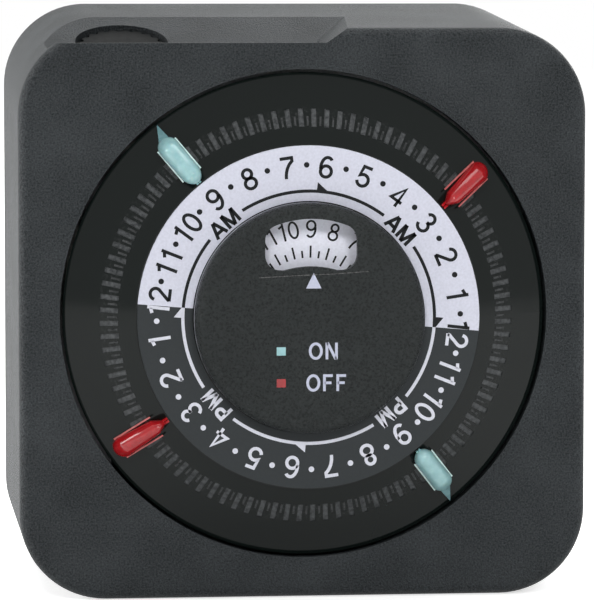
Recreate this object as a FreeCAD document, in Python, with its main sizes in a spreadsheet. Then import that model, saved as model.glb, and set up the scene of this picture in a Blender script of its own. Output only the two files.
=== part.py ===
# Plug-in timer switch: a cube-shaped housing with a turning 24-hour dial,
# four trippers, an override knob in a thumb recess, a wall plug on its back
# and a receptacle in its bottom.
#
# Frame: X to the right as seen from the front, Z up, and the front faces -Y.
# The origin is the middle of the back face, and the dial turns about the Y
# axis. A "depth" below is a distance in front of the back face, along -Y.
import FreeCAD
import Part
import Sketcher
import math
import os

doc = FreeCAD.newDocument("TimerSwitch")
sheet = doc.addObject("Spreadsheet::Sheet", "Sizes")

SIZES = [
    # Housing
    ("half_width", "38", "half the housing's width"),
    ("top_front", "38", "height of the top above the dial axis, at the front"),
    ("top_back", "41", "the same at the back: the top slopes"),
    ("bottom_drop", "38", "the flat bottom below the dial axis"),
    ("housing_depth", "48", "back face to front face"),
    ("rear_depth", "8", "depth of the rear housing, up to the seam"),
    ("wall", "2.2", "side walls"),
    ("front_wall", "2.5", "front wall"),
    ("back_wall", "2.5", "back wall"),
    ("corner_radius", "11.5", "upright corners of the housing"),
    ("front_edge_radius", "1.5", "rounding round the front face"),
    ("back_edge_radius", "1.2", "rounding round the back face"),
    ("top_seam", "=top_back + (top_front - top_back) * rear_depth / housing_depth", "top at the seam"),
    ("cavity_front", "=housing_depth - front_wall", "depth where the cavity ends"),
    ("top_cavity_front", "=top_back + (top_front - top_back) * cavity_front / housing_depth - wall",
     "cavity's top at its front"),
    ("top_cavity_back", "=top_seam - wall", "cavity's top at the seam and behind it"),
    ("half_cavity", "=half_width - wall", "cavity's half width"),
    ("rear_reach", "=rear_depth + 1", "the rear cavity runs past the seam"),
    ("bottom_cavity", "=bottom_drop - wall", "cavity's bottom"),
    ("cavity_corner", "=corner_radius - wall", "cavity's corner radius"),
    # Thumb recess in the top, with the round hole of the override knob
    ("recess_left", "34", "left end of the thumb recess"),
    ("recess_right", "3", "right end of its level stretch"),
    ("recess_ramp", "9", "length of the ramp up to the top at its right end"),
    ("lip_height", "36.1", "height of the lip in front of the recess"),
    ("lip_width", "1.8", "thickness of the lip"),
    ("recess_floor", "33.9", "height of the level part of the floor"),
    ("recess_level", "4.2", "length of the level part of the floor"),
    ("recess_reach", "20", "how far back the recess could reach"),
    ("recess_tilt", "20", "slope of the floor and tilt of the knob, degrees"),
    ("recess_wall", "1.2", "wall under the floor"),
    ("knob_x", "-23.5", "knob centre from the dial axis"),
    ("knob_setback", "12", "knob centre behind the front face"),
    ("knob_hole_radius", "6.25", "round hole in the floor"),
    ("knob_height", "=recess_floor + (knob_setback - lip_width - recess_level) * tan(recess_tilt * 1deg)",
     "floor height at the knob centre"),
    ("lip_front", "=housing_depth + 1", "depth where the recess profile starts, clear of the face"),
    ("lip_back", "=housing_depth - lip_width", "depth of the lip's back"),
    ("level_end", "=lip_back - recess_level", "depth where the floor starts to rise"),
    ("slope_end", "=level_end - recess_reach", "depth where the profile ends, above the top"),
    ("slope_top", "=recess_floor + recess_reach * tan(recess_tilt * 1deg)", "height of the profile there"),
    ("under_floor", "=recess_floor - recess_wall", "underside of the level floor"),
    ("under_slope_top", "=slope_top - recess_wall", "underside of the slope at its end"),
    ("recess_low", "=recess_floor - 5", "the front profile starts below the floor"),
    ("recess_ramp_end", "=recess_right + recess_ramp", "right end of the ramp"),
    ("recess_left_top", "=recess_left - 4", "left end at the top: the end wall leans"),
    ("recess_ramp_top", "=slope_top + 1", "height where the front profile ends"),
    # Dial
    ("opening_radius", "32.6", "round opening of the front wall"),
    ("dial_gap", "0.4", "gap between the dial and the opening"),
    ("dial_radius", "=opening_radius - dial_gap", "outer edge of the dial"),
    ("dial_skirt", "2.4", "height of the dial's upright edge"),
    ("dial_edge_sink", "0.6", "dial's outer edge behind the front face"),
    ("dial_top_radius", "22.9", "where the sloping flank ends"),
    ("dial_rise", "5", "dial's top in front of the front face"),
    ("dial_thickness", "1.8", "thickness of the moulded dial"),
    ("slot_inner", "25.1", "inner ends of the tripper slots"),
    ("slot_outer", "27.5", "outer ends"),
    ("slot_width", "0.7", "width of a slot"),
    ("slot_half", "=slot_width / 2", "half of it"),
    ("hub_radius", "7", "dial's hub"),
    ("hub_length", "11", "length of the hub behind the dial's top"),
    ("post_radius", "4", "fixed centre post"),
    ("running_gap", "0.05", "radial clearance of a running fit"),
    ("hub_bore", "=post_radius + running_gap", "bore of the hub"),
    ("dial_top", "=housing_depth + dial_rise", "depth of the dial's top"),
    ("dial_edge", "=housing_depth - dial_edge_sink", "depth of the flank's outer edge"),
    ("skirt_end", "=dial_edge - dial_skirt", "back of the upright edge"),
    ("skirt_inner", "=dial_radius - dial_thickness", "inside of the upright edge"),
    ("flank_inner_top", "=dial_top - dial_thickness", "inside of the dial's top"),
    ("flank_inner_radius", "=dial_top_radius - 0.6 * dial_thickness", "inside end of the flank"),
    ("flank_inner_edge", "=dial_edge - 0.6 * dial_thickness", "inside of the flank at the skirt"),
    ("hub_end", "=dial_top - hub_length", "back end of the hub"),
    # Printed rings and the centre cap
    ("label_outer", "22.7", "outer edge of the printed ring"),
    ("label_inner", "15.4", "its inner edge"),
    ("label_thickness", "0.6", "its thickness"),
    ("scale_outer", "15.2", "disc seen through the cap's window"),
    ("scale_thickness", "0.5", "its thickness"),
    ("cap_radius", "15.2", "centre cap"),
    ("cap_clearance", "0.3", "gap between the cap and what turns behind it"),
    ("cap_height", "3", "cap in front of the printed ring"),
    ("cap_edge_radius", "1.2", "rounding of the cap's rim"),
    ("cap_skin", "1.2", "thickness of the cap's face"),
    ("cap_back", "=dial_top + label_thickness + cap_clearance", "back of the cap's rim"),
    ("cap_front", "=dial_top + label_thickness + cap_height", "face of the cap"),
    ("cap_inner", "=cap_radius - cap_skin", "inside of the cap's rim"),
    ("cap_face_back", "=cap_front - cap_skin", "back of the cap's face"),
    ("window_width", "12.2", "window in the cap"),
    ("window_low", "6.4", "window's lower edge above the centre"),
    ("window_high", "13.2", "window's upper edge above the centre"),
    ("scale_front", "=dial_top + scale_thickness", "face of the scale disc"),
    ("post_shoulder", "=hub_end - post_seat_gap", "front of the post's flange"),
    # Trippers
    ("tripper_head_width", "3.4", "width of a tripper's head"),
    ("tripper_head_length", "8.4", "length of the head"),
    ("tripper_middle", "27.3", "middle of the head from the dial axis"),
    ("tripper_head_height", "3", "height of the head above the flank"),
    ("tripper_gap", "0.1", "gap between the head and the flank"),
    ("tripper_fin_width", "0.5", "thickness of the fin"),
    ("tripper_tail_end", "41", "depth that a tripper's tail reaches"),
    ("fin_rise", "2", "fin above the flank at its inner end"),
    ("slot_pitch", "3.75", "angle between slots, degrees"),
    ("slot_phase", "-5.8", "turn of the slots at rest, degrees"),
        ("flank_slope", "=(dial_top - dial_edge) / (dial_radius - dial_top_radius)", "fall of the flank per mm"),
    ("head_in", "=tripper_middle - tripper_head_length / 2", "inner end of the head"),
    ("head_out", "=tripper_middle + tripper_head_length / 2", "outer end of the head"),
    ("head_in_base", "=dial_top + tripper_gap - (head_in - dial_top_radius) * flank_slope", "its base there"),
    ("head_out_base", "=dial_top + tripper_gap - (head_out - dial_top_radius) * flank_slope", "its base there"),
    ("head_in_top", "=head_in_base + tripper_head_height", "its front at the inner end"),
    ("head_out_top", "=head_out_base + tripper_head_height", "its front at the outer end"),
    ("fin_in", "=dial_top_radius + 0.05", "inner end of the fin"),
    ("fin_out", "=dial_radius", "outer tip of the fin"),
    ("fin_in_base", "=dial_top + tripper_gap", "fin's base at the inner end"),
    ("fin_in_top", "=fin_in_base + fin_rise", "fin's front at the inner end"),
    ("fin_out_base", "=dial_edge + tripper_gap", "fin's base at its tip"),
    ("tail_in", "=slot_inner + tripper_gap / 2", "inner side of the tail"),
    ("tail_out", "=slot_outer - tripper_gap / 2", "outer side of the tail"),
    ("tail_top_in", "=dial_top + 2 * tripper_gap - (tail_in - dial_top_radius) * flank_slope", "top of the tail"),
    ("tail_top_out", "=dial_top + 2 * tripper_gap - (tail_out - dial_top_radius) * flank_slope", "top of the tail"),
    # Plug on the back
    ("blade_spacing", "12.7", "between the two flat blades"),
    ("blade_thickness", "1.5", "blade thickness"),
    ("blade_width", "6.35", "blade width"),
    ("blade_length", "17.5", "blade outside the back face"),
    ("blade_hole_radius", "1.6", "hole near a blade's tip"),
    ("blade_hole_setback", "6", "hole centre from the tip"),
    ("blade_inside", "3.2", "blade inside the back wall"),
    ("plug_height", "5.95", "blades above the dial axis"),
    ("ground_drop", "11.9", "ground pin below the blades"),
    ("ground_radius", "2.38", "ground pin"),
    ("pin_neck", "2", "neck of the ground pin, held in the back wall"),
    ("pin_relief", "0.4", "length of the neck outside the wall"),
    ("pin_sink", "1", "depth of the sink round it"),
    ("ground_length", "20.6", "ground pin outside the back face"),
    ("blade_tip_chamfer", "0.4", "chamfer of a blade's tip"),
    ("pin_end", "=back_wall + blade_inside", "inner end of the ground pin"),
    ("pin_taper", "=ground_length - 1.8", "where its tip starts to narrow"),
    ("pin_bevel", "=ground_length - 0.6", "where the tip narrows faster"),
    ("pin_bevel_radius", "=0.8 * ground_radius", "tip there"),
    ("pin_tip_radius", "=0.45 * ground_radius", "flat end of the tip"),
    ("blade_foot", "=plug_height - blade_width / 2 - 1.5", "lower end of a blade's shoulder"),
    # Receptacle in the bottom
    ("receptacle_width", "34", "receptacle insert"),
    ("receptacle_breadth", "24", "the same, front to back"),
    ("receptacle_height", "18", "height of the insert"),
    ("receptacle_depth", "26", "depth of its middle"),
    ("receptacle_plate", "3", "thickness of its face"),
    ("receptacle_wall", "1.6", "thickness of its sides"),
    ("slot_spacing", "12.7", "between the two slots"),
    ("slot_thickness", "2", "slot thickness"),
    ("line_slot_length", "7", "slot of the line blade"),
    ("neutral_slot_length", "8.6", "slot of the neutral blade"),
    ("ground_hole_radius", "2.8", "round ground hole"),
    ("slots_ahead", "5.95", "slots in front of the receptacle's middle"),
    ("slots_depth", "=receptacle_depth + slots_ahead", "depth of the slots"),
    ("ground_depth", "=slots_depth - ground_drop", "depth of the ground hole"),
    ("clip_metal", "0.6", "thickness of the contacts"),
    ("strap_metal", "0.8", "thickness of the straps"),
    ("strap_setback", "1.5", "neutral strap in front of the back wall"),
    ("clip_inner", "=slot_thickness / 2 - 0.1", "inside of a leaf"),
    ("clip_outer", "=clip_inner + clip_metal", "outside of a leaf"),
    ("clip_top", "=bottom_drop - receptacle_height", "top of the insert and its contacts"),
    ("clip_bridge", "=clip_top + clip_metal", "underside of a contact's bridge"),
    ("clip_foot", "=bottom_drop - receptacle_plate", "lower end of the contacts"),
    ("ground_clip_foot", "=clip_foot - 0.5", "lower end of the ground contact"),
    ("ground_clip_bore", "=ground_hole_radius - 0.2", "bore of the ground contact"),
    ("ground_clip_radius", "=ground_clip_bore + clip_metal", "ground contact"),
    ("strap_top", "=clip_top - strap_metal", "top of the straps on the insert"),
    ("strap_back", "=back_wall + strap_setback", "back of the neutral strap"),
    ("strap_front", "=strap_back + strap_metal", "front of the neutral strap"),
    ("pin_strap_front", "=pin_end + strap_metal", "front of the ground strap"),
    ("pin_strap_top", "=ground_drop - plug_height - ground_radius", "top of the ground strap"),
    # Movement
    ("plate_depth", "17", "back of the gear plate"),
    ("plate_thickness", "1.5", "gear plate"),
    ("plate_front", "=plate_depth + plate_thickness", "front of the gear plate"),
    ("screw_x", "31", "corner screws from the dial axis"),
    ("screw_z", "31", "the same, up and down"),
    ("boss_radius", "2.6", "screw bosses"),
    ("screw_radius", "1.5", "screw shanks"),
    ("screw_head_radius", "2.6", "screw heads"),
    ("screw_head_height", "1.8", "height of the heads"),
    ("screw_length", "30", "shank length"),
    ("gear_pitch", "0.5", "gear pitch: pitch diameter over teeth"),
    ("dial_teeth", "60", "teeth of the dial gear"),
    ("idler_teeth", "48", "teeth of the idler wheel"),
    ("leaf_teeth", "12", "teeth of the idler pinion"),
    ("pinion_teeth", "12", "teeth of the motor pinion"),
    ("dial_gear_radius", "=dial_teeth * gear_pitch / 2", "pitch radius of the dial gear"),
    ("idler_radius", "=idler_teeth * gear_pitch / 2", "pitch radius of the idler wheel"),
    ("leaf_radius", "=leaf_teeth * gear_pitch / 2", "pitch radius of the idler pinion"),
    ("pinion_radius", "=pinion_teeth * gear_pitch / 2", "pitch radius of the motor pinion"),
    ("tooth_half", "=0.18 * pi * gear_pitch", "half a tooth at the pitch circle"),
    ("tooth_root_half", "=0.27 * pi * gear_pitch", "half a tooth at its root"),
    ("tooth_tip_half", "=0.09 * pi * gear_pitch", "half a tooth at its tip"),
    ("idler_angle", "-20", "direction of the idler from the dial axis, degrees"),
    ("idler_x", "=(dial_gear_radius + leaf_radius) * cos(idler_angle * 1deg)", "idler axis"),
    ("idler_z", "=(dial_gear_radius + leaf_radius) * sin(idler_angle * 1deg)", "idler axis"),
    ("motor_angle", "126", "direction of the motor from the idler, degrees"),
    ("motor_x", "=idler_x + (idler_radius + pinion_radius) * cos(motor_angle * 1deg)", "motor axis"),
    ("motor_z", "=idler_z + (idler_radius + pinion_radius) * sin(motor_angle * 1deg)", "motor axis"),
    ("dial_gear_thickness", "2.5", "face width of the dial gear"),
    ("wheel_thickness", "2", "face width of the idler wheel"),
    ("gear_clearance", "1", "gear plate to the wheels"),
    ("arbor_radius", "1", "idler arbor"),
    ("arbor_bore", "=arbor_radius + running_gap", "bore of the idler"),
    ("sleeve_radius", "2", "idler sleeve between its gears"),
    ("plate_half", "34", "half width of the gear plate"),
    ("plate_low", "13", "its lower edge between the legs, below the dial axis"),
    ("leg_inner", "24", "inner side of its legs"),
    ("plate_corner", "7", "its corners"),
    ("post_flange", "5.2", "flange of the centre post"),
    ("post_seat_gap", "0.3", "gap between the flange and the hub"),
    ("motor_radius", "16", "motor can"),
    ("motor_length", "10", "its length"),
    ("motor_shaft_radius", "1", "motor shaft"),
    ("bobbin_length", "14", "motor winding beside the can"),
    ("bobbin_radius", "5", "its radius"),
    # Override shaft, in its own tilted frame: w runs up along the shaft
    ("knob_radius", "5.7", "override knob"),
    ("knob_thickness", "4", "its height"),
    ("knob_sink", "0.5", "knob's top below the floor"),
    ("knob_grips", "20", "scallops round its rim"),
    ("shaft_radius", "1.5", "override shaft"),
    ("shaft_length", "27.5", "its length below the knob's top"),
    ("star_radius", "8.2", "star wheel"),
    ("star_arms", "4", "its arms"),
    ("star_drop", "10.5", "its top below the floor"),
    ("star_thickness", "2.4", "its height"),
    ("cam_drop", "14.5", "cam's top below the floor"),
    ("cam_thickness", "4", "its height"),
    ("cam_radius", "3.6", "cam between its lobes"),
    ("lobe_reach", "4.4", "cam over its lobes"),
    ("base_top", "12", "top of the switch base above the dial axis"),
    ("base_width", "19", "switch base"),
    ("base_height", "11", "switch base"),
    ("base_reach", "15", "switch base in front of the gear plate"),
    ("arm_thickness", "0.4", "contact arms"),
    ("arm_width", "4", "contact arms"),
    ("arm_length", "9.5", "contact arms"),
    ("arm_offset", "5", "moving arm from the shaft"),
    ("contact_gap", "1", "open gap between the contacts"),
    ("contact_radius", "1.5", "contact rivets"),
    ("contact_height", "1", "contact rivets"),
    ("coil_flange", "=bobbin_radius + 1", "flanges of the winding"),
    ("leg_low", "=screw_z + boss_radius", "lower end of the gear plate's legs"),
    ("grip_radius", "=0.08 * knob_radius", "scallops of the knob"),
    ("groove_reach", "=0.6 * knob_radius", "half length of the knob's groove"),
    ("groove_half", "=0.1 * knob_radius", "half width of the knob's groove"),
    ("star_hub", "=2 * shaft_radius", "hub of the star wheel"),
    ("star_arm_half", "=shaft_radius", "half width of an arm at the hub"),
    ("star_arm_root", "=star_hub - 0.5", "arms start inside the hub"),
    ("star_tip_half", "=0.5 * star_arm_half", "half width of an arm at its tip"),
    ("shaft_bore", "=shaft_radius + running_gap", "bore of the switch base"),
    ("cam_depth", "=housing_depth - knob_setback - (cam_drop + cam_thickness / 2) * sin(recess_tilt * 1deg)",
     "depth of the cam's middle"),
]

for gear in ("dial_gear_radius", "idler_radius", "leaf_radius", "pinion_radius"):
    SIZES += [(gear + "_root", "=%s - 1.2 * gear_pitch" % gear, "root circle"),
              (gear + "_foot", "=%s - 1.4 * gear_pitch" % gear, "foot of a tooth, inside the disc"),
              (gear + "_tip", "=%s + 0.9 * gear_pitch" % gear, "tip circle")]

for row, (alias, content, note) in enumerate(SIZES, start=1):
    sheet.set("A%d" % row, alias)
    sheet.set("B%d" % row, content)
    sheet.set("C%d" % row, note)
    sheet.setAlias("B%d" % row, alias)
doc.recompute()


def size(term):
    """The number that a sheet alias stands for; a leading minus turns its sign."""
    if term == "0":
        return 0.0
    if term.startswith("-"):
        return -size(term[1:])
    value = sheet.get(term)
    return float(getattr(value, "Value", value))


def formula(term):
    """The same term as an expression on the sheet."""
    if term.startswith("-"):
        return "-Sizes." + term[1:]
    return "Sizes." + term


def new_body(name):
    """An empty body with its label."""
    made = doc.addObject("PartDesign::Body", name)
    made.Label = name
    return made


def origin_plane(owner, role):
    """One of a body's own origin planes."""
    return [item for item in owner.Origin.OriginFeatures if item.Role == role][0]


def new_sketch(owner, name, role, offset=None):
    """A sketch on an origin plane, moved along the plane's normal by an expression."""
    made = owner.newObject("Sketcher::SketchObject", name)
    made.AttachmentSupport = [(origin_plane(owner, role), "")]
    made.MapMode = "FlatFace"
    if offset:
        made.setExpression("AttachmentOffset.Base.z", offset)
    return made


def hold(sketch, geometry, position, terms):
    """Ties one point of the sketch to a pair of sheet terms."""
    for axis, term in zip("XY", terms):
        if term == "0":
            on_axis = -2 if axis == "X" else -1
            sketch.addConstraint(Sketcher.Constraint("PointOnObject", geometry, position, on_axis))
        else:
            index = sketch.addConstraint(
                Sketcher.Constraint("Distance" + axis, -1, 1, geometry, position, size(term)))
            sketch.setExpression("Constraints[%d]" % index, formula(term))


def outline(sketch, points):
    """A closed outline through points, each a pair of sheet terms."""
    places = [FreeCAD.Vector(size(a), size(b), 0) for a, b in points]
    first = sketch.GeometryCount
    count = len(places)
    for index in range(count):
        sketch.addGeometry(Part.LineSegment(places[index], places[(index + 1) % count]), False)
    for index in range(count):
        following = (index + 1) % count
        sketch.addConstraint(Sketcher.Constraint("Coincident", first + index, 2, first + following, 1))
    for index, terms in enumerate(points):
        hold(sketch, first + index, 1, terms)


def round_outline(sketch, radius, terms=("0", "0")):
    """A circle whose radius and centre are sheet terms."""
    centre = FreeCAD.Vector(size(terms[0]), size(terms[1]), 0)
    index = sketch.addGeometry(Part.Circle(centre, FreeCAD.Vector(0, 0, 1), size(radius)), False)
    hold(sketch, index, 3, terms)
    held = sketch.addConstraint(Sketcher.Constraint("Radius", index, size(radius)))
    sketch.setExpression("Constraints[%d]" % held, formula(radius))


def pad(owner, name, sketch, length, backwards=False, both_ways=False):
    """A pad whose length is an expression."""
    made = owner.newObject("PartDesign::Pad", name)
    made.Profile = sketch
    made.setExpression("Length", length)
    made.Reversed = backwards
    made.Midplane = both_ways
    return made


def pocket(owner, name, sketch, length, backwards=False, both_ways=False):
    """A pocket whose depth is an expression; it has to take something away."""
    before = owner.Tip
    made = owner.newObject("PartDesign::Pocket", name)
    made.Profile = sketch
    made.setExpression("Length", length)
    made.Reversed = backwards
    made.Midplane = both_ways
    doc.recompute()
    if made.Shape.Volume > before.Shape.Volume - 1e-6:
        raise RuntimeError(name + " takes nothing away")
    return made


def turned(owner, name, sketch):
    """A full revolution about the sketch's upright axis."""
    made = owner.newObject("PartDesign::Revolution", name)
    made.Profile = sketch
    made.ReferenceAxis = (sketch, ["V_Axis"])
    made.Angle = 360
    return made


def around(owner, name, feature, sketch, count):
    """A feature repeated about the normal of its sketch; count is an expression."""
    made = owner.newObject("PartDesign::PolarPattern", name)
    made.Originals = [feature]
    made.Axis = (sketch, ["N_Axis"])
    made.Angle = 360
    made.setExpression("Occurrences", count)
    owner.Tip = made
    return made


def rounded(owner, name, base, wanted, radius):
    """A fillet on the edges of the feature that the test picks."""
    doc.recompute()
    names = ["Edge%d" % (n + 1) for n, edge in enumerate(base.Shape.Edges) if wanted(edge)]
    made = owner.newObject("PartDesign::Fillet", name)
    made.Base = (base, names)
    made.setExpression("Radius", radius)
    return made


def placed(thing, x, y, z, rotation=None):
    """Binds a placement to three expressions."""
    if rotation:
        thing.Placement = FreeCAD.Placement(FreeCAD.Vector(), rotation)
    for axis, term in zip("xyz", (x, y, z)):
        if term != "0":
            thing.setExpression("Placement.Base." + axis, term)
    return thing


def block(name, spans, at):
    """A box: three expressions for its size and three for its low corner."""
    made = doc.addObject("Part::Box", name)
    for side, term in zip(("Length", "Width", "Height"), spans):
        made.setExpression(side, term)
    return placed(made, *at)


TO_FRONT = FreeCAD.Rotation(FreeCAD.Vector(1, 0, 0), 90)


def rod(name, radius, length, at, rotation=TO_FRONT):
    """A cylinder; unless turned otherwise it runs from its depth to the front."""
    made = doc.addObject("Part::Cylinder", name)
    made.setExpression("Radius", radius)
    made.setExpression("Height", length)
    return placed(made, *at, rotation)


def joined(name, things):
    """Several solids as one."""
    made = doc.addObject("Part::MultiFuse", name)
    made.Shapes = things
    made.Label = name
    return made


def cut(name, base, tools):
    """A solid without several others."""
    made = doc.addObject("Part::Cut", name)
    made.Base = base
    made.Tool = tools[0] if len(tools) == 1 else joined(name + "_tools", tools)
    made.Label = name
    return made


def shared(name, things):
    """What several solids have in common."""
    made = doc.addObject("Part::MultiCommon", name)
    made.Shapes = things
    made.Label = name
    return made


def is_upright(edge):
    """Edges that run from back to front."""
    ends = [vertex.Point for vertex in edge.Vertexes]
    return len(ends) == 2 and abs(ends[0].y - ends[1].y) > 1


def lies_at(depth):
    """Edges that lie all round at one depth."""
    return lambda edge: all(abs(vertex.Point.y + depth) < 1e-4 for vertex in edge.Vertexes)


# Housing shells
def side_block(name, corners, half_width, radius):
    """A block drawn from the side, its edges from back to front rounded."""
    made = new_body(name)
    sketch = new_sketch(made, name + "_side", "YZ_Plane")
    outline(sketch, corners)
    sides = pad(made, name + "_sides", sketch, "2 * Sizes." + half_width, both_ways=True)
    return made, rounded(made, name + "_corners", sides, is_upright, radius)


front_block, front_corners = side_block(
    "front_block", [("-rear_depth", "-bottom_drop"), ("-housing_depth", "-bottom_drop"),
                    ("-housing_depth", "top_front"), ("-rear_depth", "top_seam")],
    "half_width", "Sizes.corner_radius")
rounded(front_block, "front_edge", front_corners, lies_at(size("housing_depth")), "Sizes.front_edge_radius")
front_cavity, cavity_corners = side_block(
    "front_cavity", [("0", "-bottom_cavity"), ("-cavity_front", "-bottom_cavity"),
                     ("-cavity_front", "top_cavity_front"), ("-rear_depth", "top_cavity_back"),
                     ("0", "top_cavity_back")],
    "half_cavity", "Sizes.cavity_corner")
front_shell = cut("front_shell", front_block, [front_cavity])

# The thumb recess is what a side profile and a front profile have in common
recess_side = new_body("recess_side")
side_sketch = new_sketch(recess_side, "recess_side_outline", "YZ_Plane")
outline(side_sketch, [("-lip_front", "lip_height"), ("-lip_back", "lip_height"), ("-lip_back", "recess_floor"),
                      ("-level_end", "recess_floor"), ("-slope_end", "slope_top"), ("-lip_front", "slope_top")])
pad(recess_side, "recess_side_pad", side_sketch, "4 * Sizes.recess_left", both_ways=True)

recess_front = new_body("recess_front")
front_sketch = new_sketch(recess_front, "recess_front_outline", "XZ_Plane")
outline(front_sketch, [("-recess_left", "recess_low"), ("recess_right", "recess_low"),
                       ("recess_right", "lip_height"), ("recess_ramp_end", "recess_ramp_top"),
                       ("-recess_left_top", "recess_ramp_top"), ("-recess_left", "lip_height")])
front_pad = pad(recess_front, "recess_front_pad", front_sketch, "Sizes.lip_front")
recess_cut = shared("recess_cut", [recess_side, recess_front])

# The wall under the recess
recess_under = new_body("recess_under")
under_sketch = new_sketch(recess_under, "recess_under_outline", "YZ_Plane")
outline(under_sketch, [("-cavity_front", "under_floor"), ("-level_end", "under_floor"),
                       ("-slope_end", "under_slope_top"), ("-slope_end", "slope_top"), ("-cavity_front", "slope_top")])
pad(recess_under, "recess_under_pad", under_sketch, "4 * Sizes.recess_left", both_ways=True)
under_limit = block("under_limit",
                    ("Sizes.recess_left + Sizes.recess_ramp_end + 2 * Sizes.recess_wall",
                     "Sizes.housing_depth", "2 * Sizes.recess_left"),
                    ("-Sizes.recess_left - Sizes.recess_wall", "-Sizes.housing_depth", "0"))
recess_tray = shared("recess_tray", [recess_under, under_limit, front_block])

TILTED = FreeCAD.Rotation(FreeCAD.Vector(1, 0, 0), 20)
KNOB_PLACE = ("Sizes.knob_x", "Sizes.knob_setback - Sizes.housing_depth", "Sizes.knob_height")


def tilted(thing):
    """Puts a piece made along Z on the override shaft, whose zero is the floor at the knob."""
    placed(thing, *KNOB_PLACE, TILTED)
    thing.setExpression("Placement.Rotation.Angle", "Sizes.recess_tilt * 1deg")
    return thing


knob_hole_body = new_body("knob_hole")
knob_hole_sketch = new_sketch(knob_hole_body, "knob_hole_outline", "XY_Plane")
round_outline(knob_hole_sketch, "knob_hole_radius")
pad(knob_hole_body, "knob_hole_pad", knob_hole_sketch, "10 * Sizes.recess_wall", both_ways=True)
tilted(knob_hole_body)

dial_opening = rod("dial_opening", "Sizes.opening_radius", "2 * Sizes.front_wall",
                   ("0", "-Sizes.cavity_front + Sizes.front_wall / 2", "0"))
receptacle_opening = block("receptacle_opening",
                           ("Sizes.receptacle_width", "Sizes.receptacle_breadth", "3 * Sizes.wall"),
                           ("-Sizes.receptacle_width / 2",
                            "-Sizes.receptacle_depth - Sizes.receptacle_breadth / 2",
                            "-Sizes.bottom_drop - Sizes.wall"))

CORNERS = [(-1, -1), (1, -1), (1, 1), (-1, 1)]


def corner(x_sign, z_sign):
    """The place of a corner screw as two expressions."""
    return "%d * Sizes.screw_x" % x_sign, "%d * Sizes.screw_z" % z_sign


front_bosses = []
front_pilots = []
rear_bosses = []
rear_holes = []
rear_sinks = []
screws = []
for number, (x_sign, z_sign) in enumerate(CORNERS, start=1):
    x, z = corner(x_sign, z_sign)
    front_bosses.append(rod("front_boss_%d" % number, "Sizes.boss_radius",
                            "Sizes.housing_depth - Sizes.front_wall / 2 - Sizes.plate_front",
                            (x, "-Sizes.plate_front", z)))
    front_pilots.append(rod("pilot_%d" % number, "Sizes.screw_radius",
                            "Sizes.screw_length + Sizes.screw_head_height - Sizes.plate_front + 1",
                            (x, "-Sizes.plate_front", z)))
    rear_bosses.append(rod("rear_boss_%d" % number, "Sizes.boss_radius",
                           "Sizes.plate_depth - Sizes.back_wall / 2", (x, "-Sizes.back_wall / 2", z)))
    rear_holes.append(rod("rear_hole_%d" % number, "Sizes.screw_radius + 0.15",
                          "Sizes.plate_front + 1", (x, "1", z)))
    rear_sinks.append(rod("rear_sink_%d" % number, "Sizes.screw_head_radius + 0.2",
                          "Sizes.screw_head_height + 1", (x, "1", z)))
    shank = rod("shank_%d" % number, "Sizes.screw_radius", "Sizes.screw_length",
                (x, "-Sizes.screw_head_height", z))
    head = rod("head_%d" % number, "Sizes.screw_head_radius", "Sizes.screw_head_height", (x, "0", z))
    cross = block("cross_%d" % number, ("3.2 * Sizes.screw_radius / 1.5", "1", "0.7"),
                  (x + " - 1.6 * Sizes.screw_radius / 1.5", "-0.9", z + " - 0.35"))
    screws.append(cut("screw_%d" % number, joined("screw_blank_%d" % number, [shank, head]), [cross]))

front_full = joined("front_full", [front_shell, recess_tray] + front_bosses)
front_housing = cut("front_housing", front_full,
                    [recess_cut, knob_hole_body, dial_opening, receptacle_opening] + front_pilots)

housing_screws = doc.addObject("Part::Compound", "housing_screws")
housing_screws.Links = screws
housing_screws.Label = "housing_screws"

rear_block, rear_corners = side_block(
    "rear_block", [("0", "-bottom_drop"), ("-rear_depth", "-bottom_drop"),
                   ("-rear_depth", "top_seam"), ("0", "top_back")],
    "half_width", "Sizes.corner_radius")
rounded(rear_block, "rear_edge", rear_corners, lies_at(0), "Sizes.back_edge_radius")
rear_cavity, rear_cavity_corners = side_block(
    "rear_cavity", [("-back_wall", "-bottom_cavity"), ("-rear_reach", "-bottom_cavity"),
                    ("-rear_reach", "top_cavity_back"), ("-back_wall", "top_cavity_back")],
    "half_cavity", "Sizes.cavity_corner")
rear_shell = cut("rear_shell", rear_block, [rear_cavity])
blade_slots = [block("blade_slot_%d" % number,
                     ("Sizes.blade_thickness + 0.1", "2 * Sizes.back_wall", "Sizes.blade_width + 0.1"),
                     ("%d * Sizes.blade_spacing / 2 - Sizes.blade_thickness / 2 - 0.05" % sign,
                      "-1.5 * Sizes.back_wall", "Sizes.plug_height - Sizes.blade_width / 2 - 0.05"))
               for number, sign in ((1, -1), (2, 1))]
ground_socket = rod("ground_socket", "Sizes.pin_neck + 0.05", "3 * Sizes.back_wall",
                    ("0", "Sizes.back_wall", "Sizes.plug_height - Sizes.ground_drop"))
ground_sink = rod("ground_sink", "Sizes.ground_radius + 0.05", "Sizes.back_wall + Sizes.pin_sink",
                  ("0", "Sizes.back_wall", "Sizes.plug_height - Sizes.ground_drop"))
rear_housing = cut("rear_housing", joined("rear_full", [rear_shell] + rear_bosses),
                   rear_holes + rear_sinks + blade_slots + [ground_socket, ground_sink])


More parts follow.
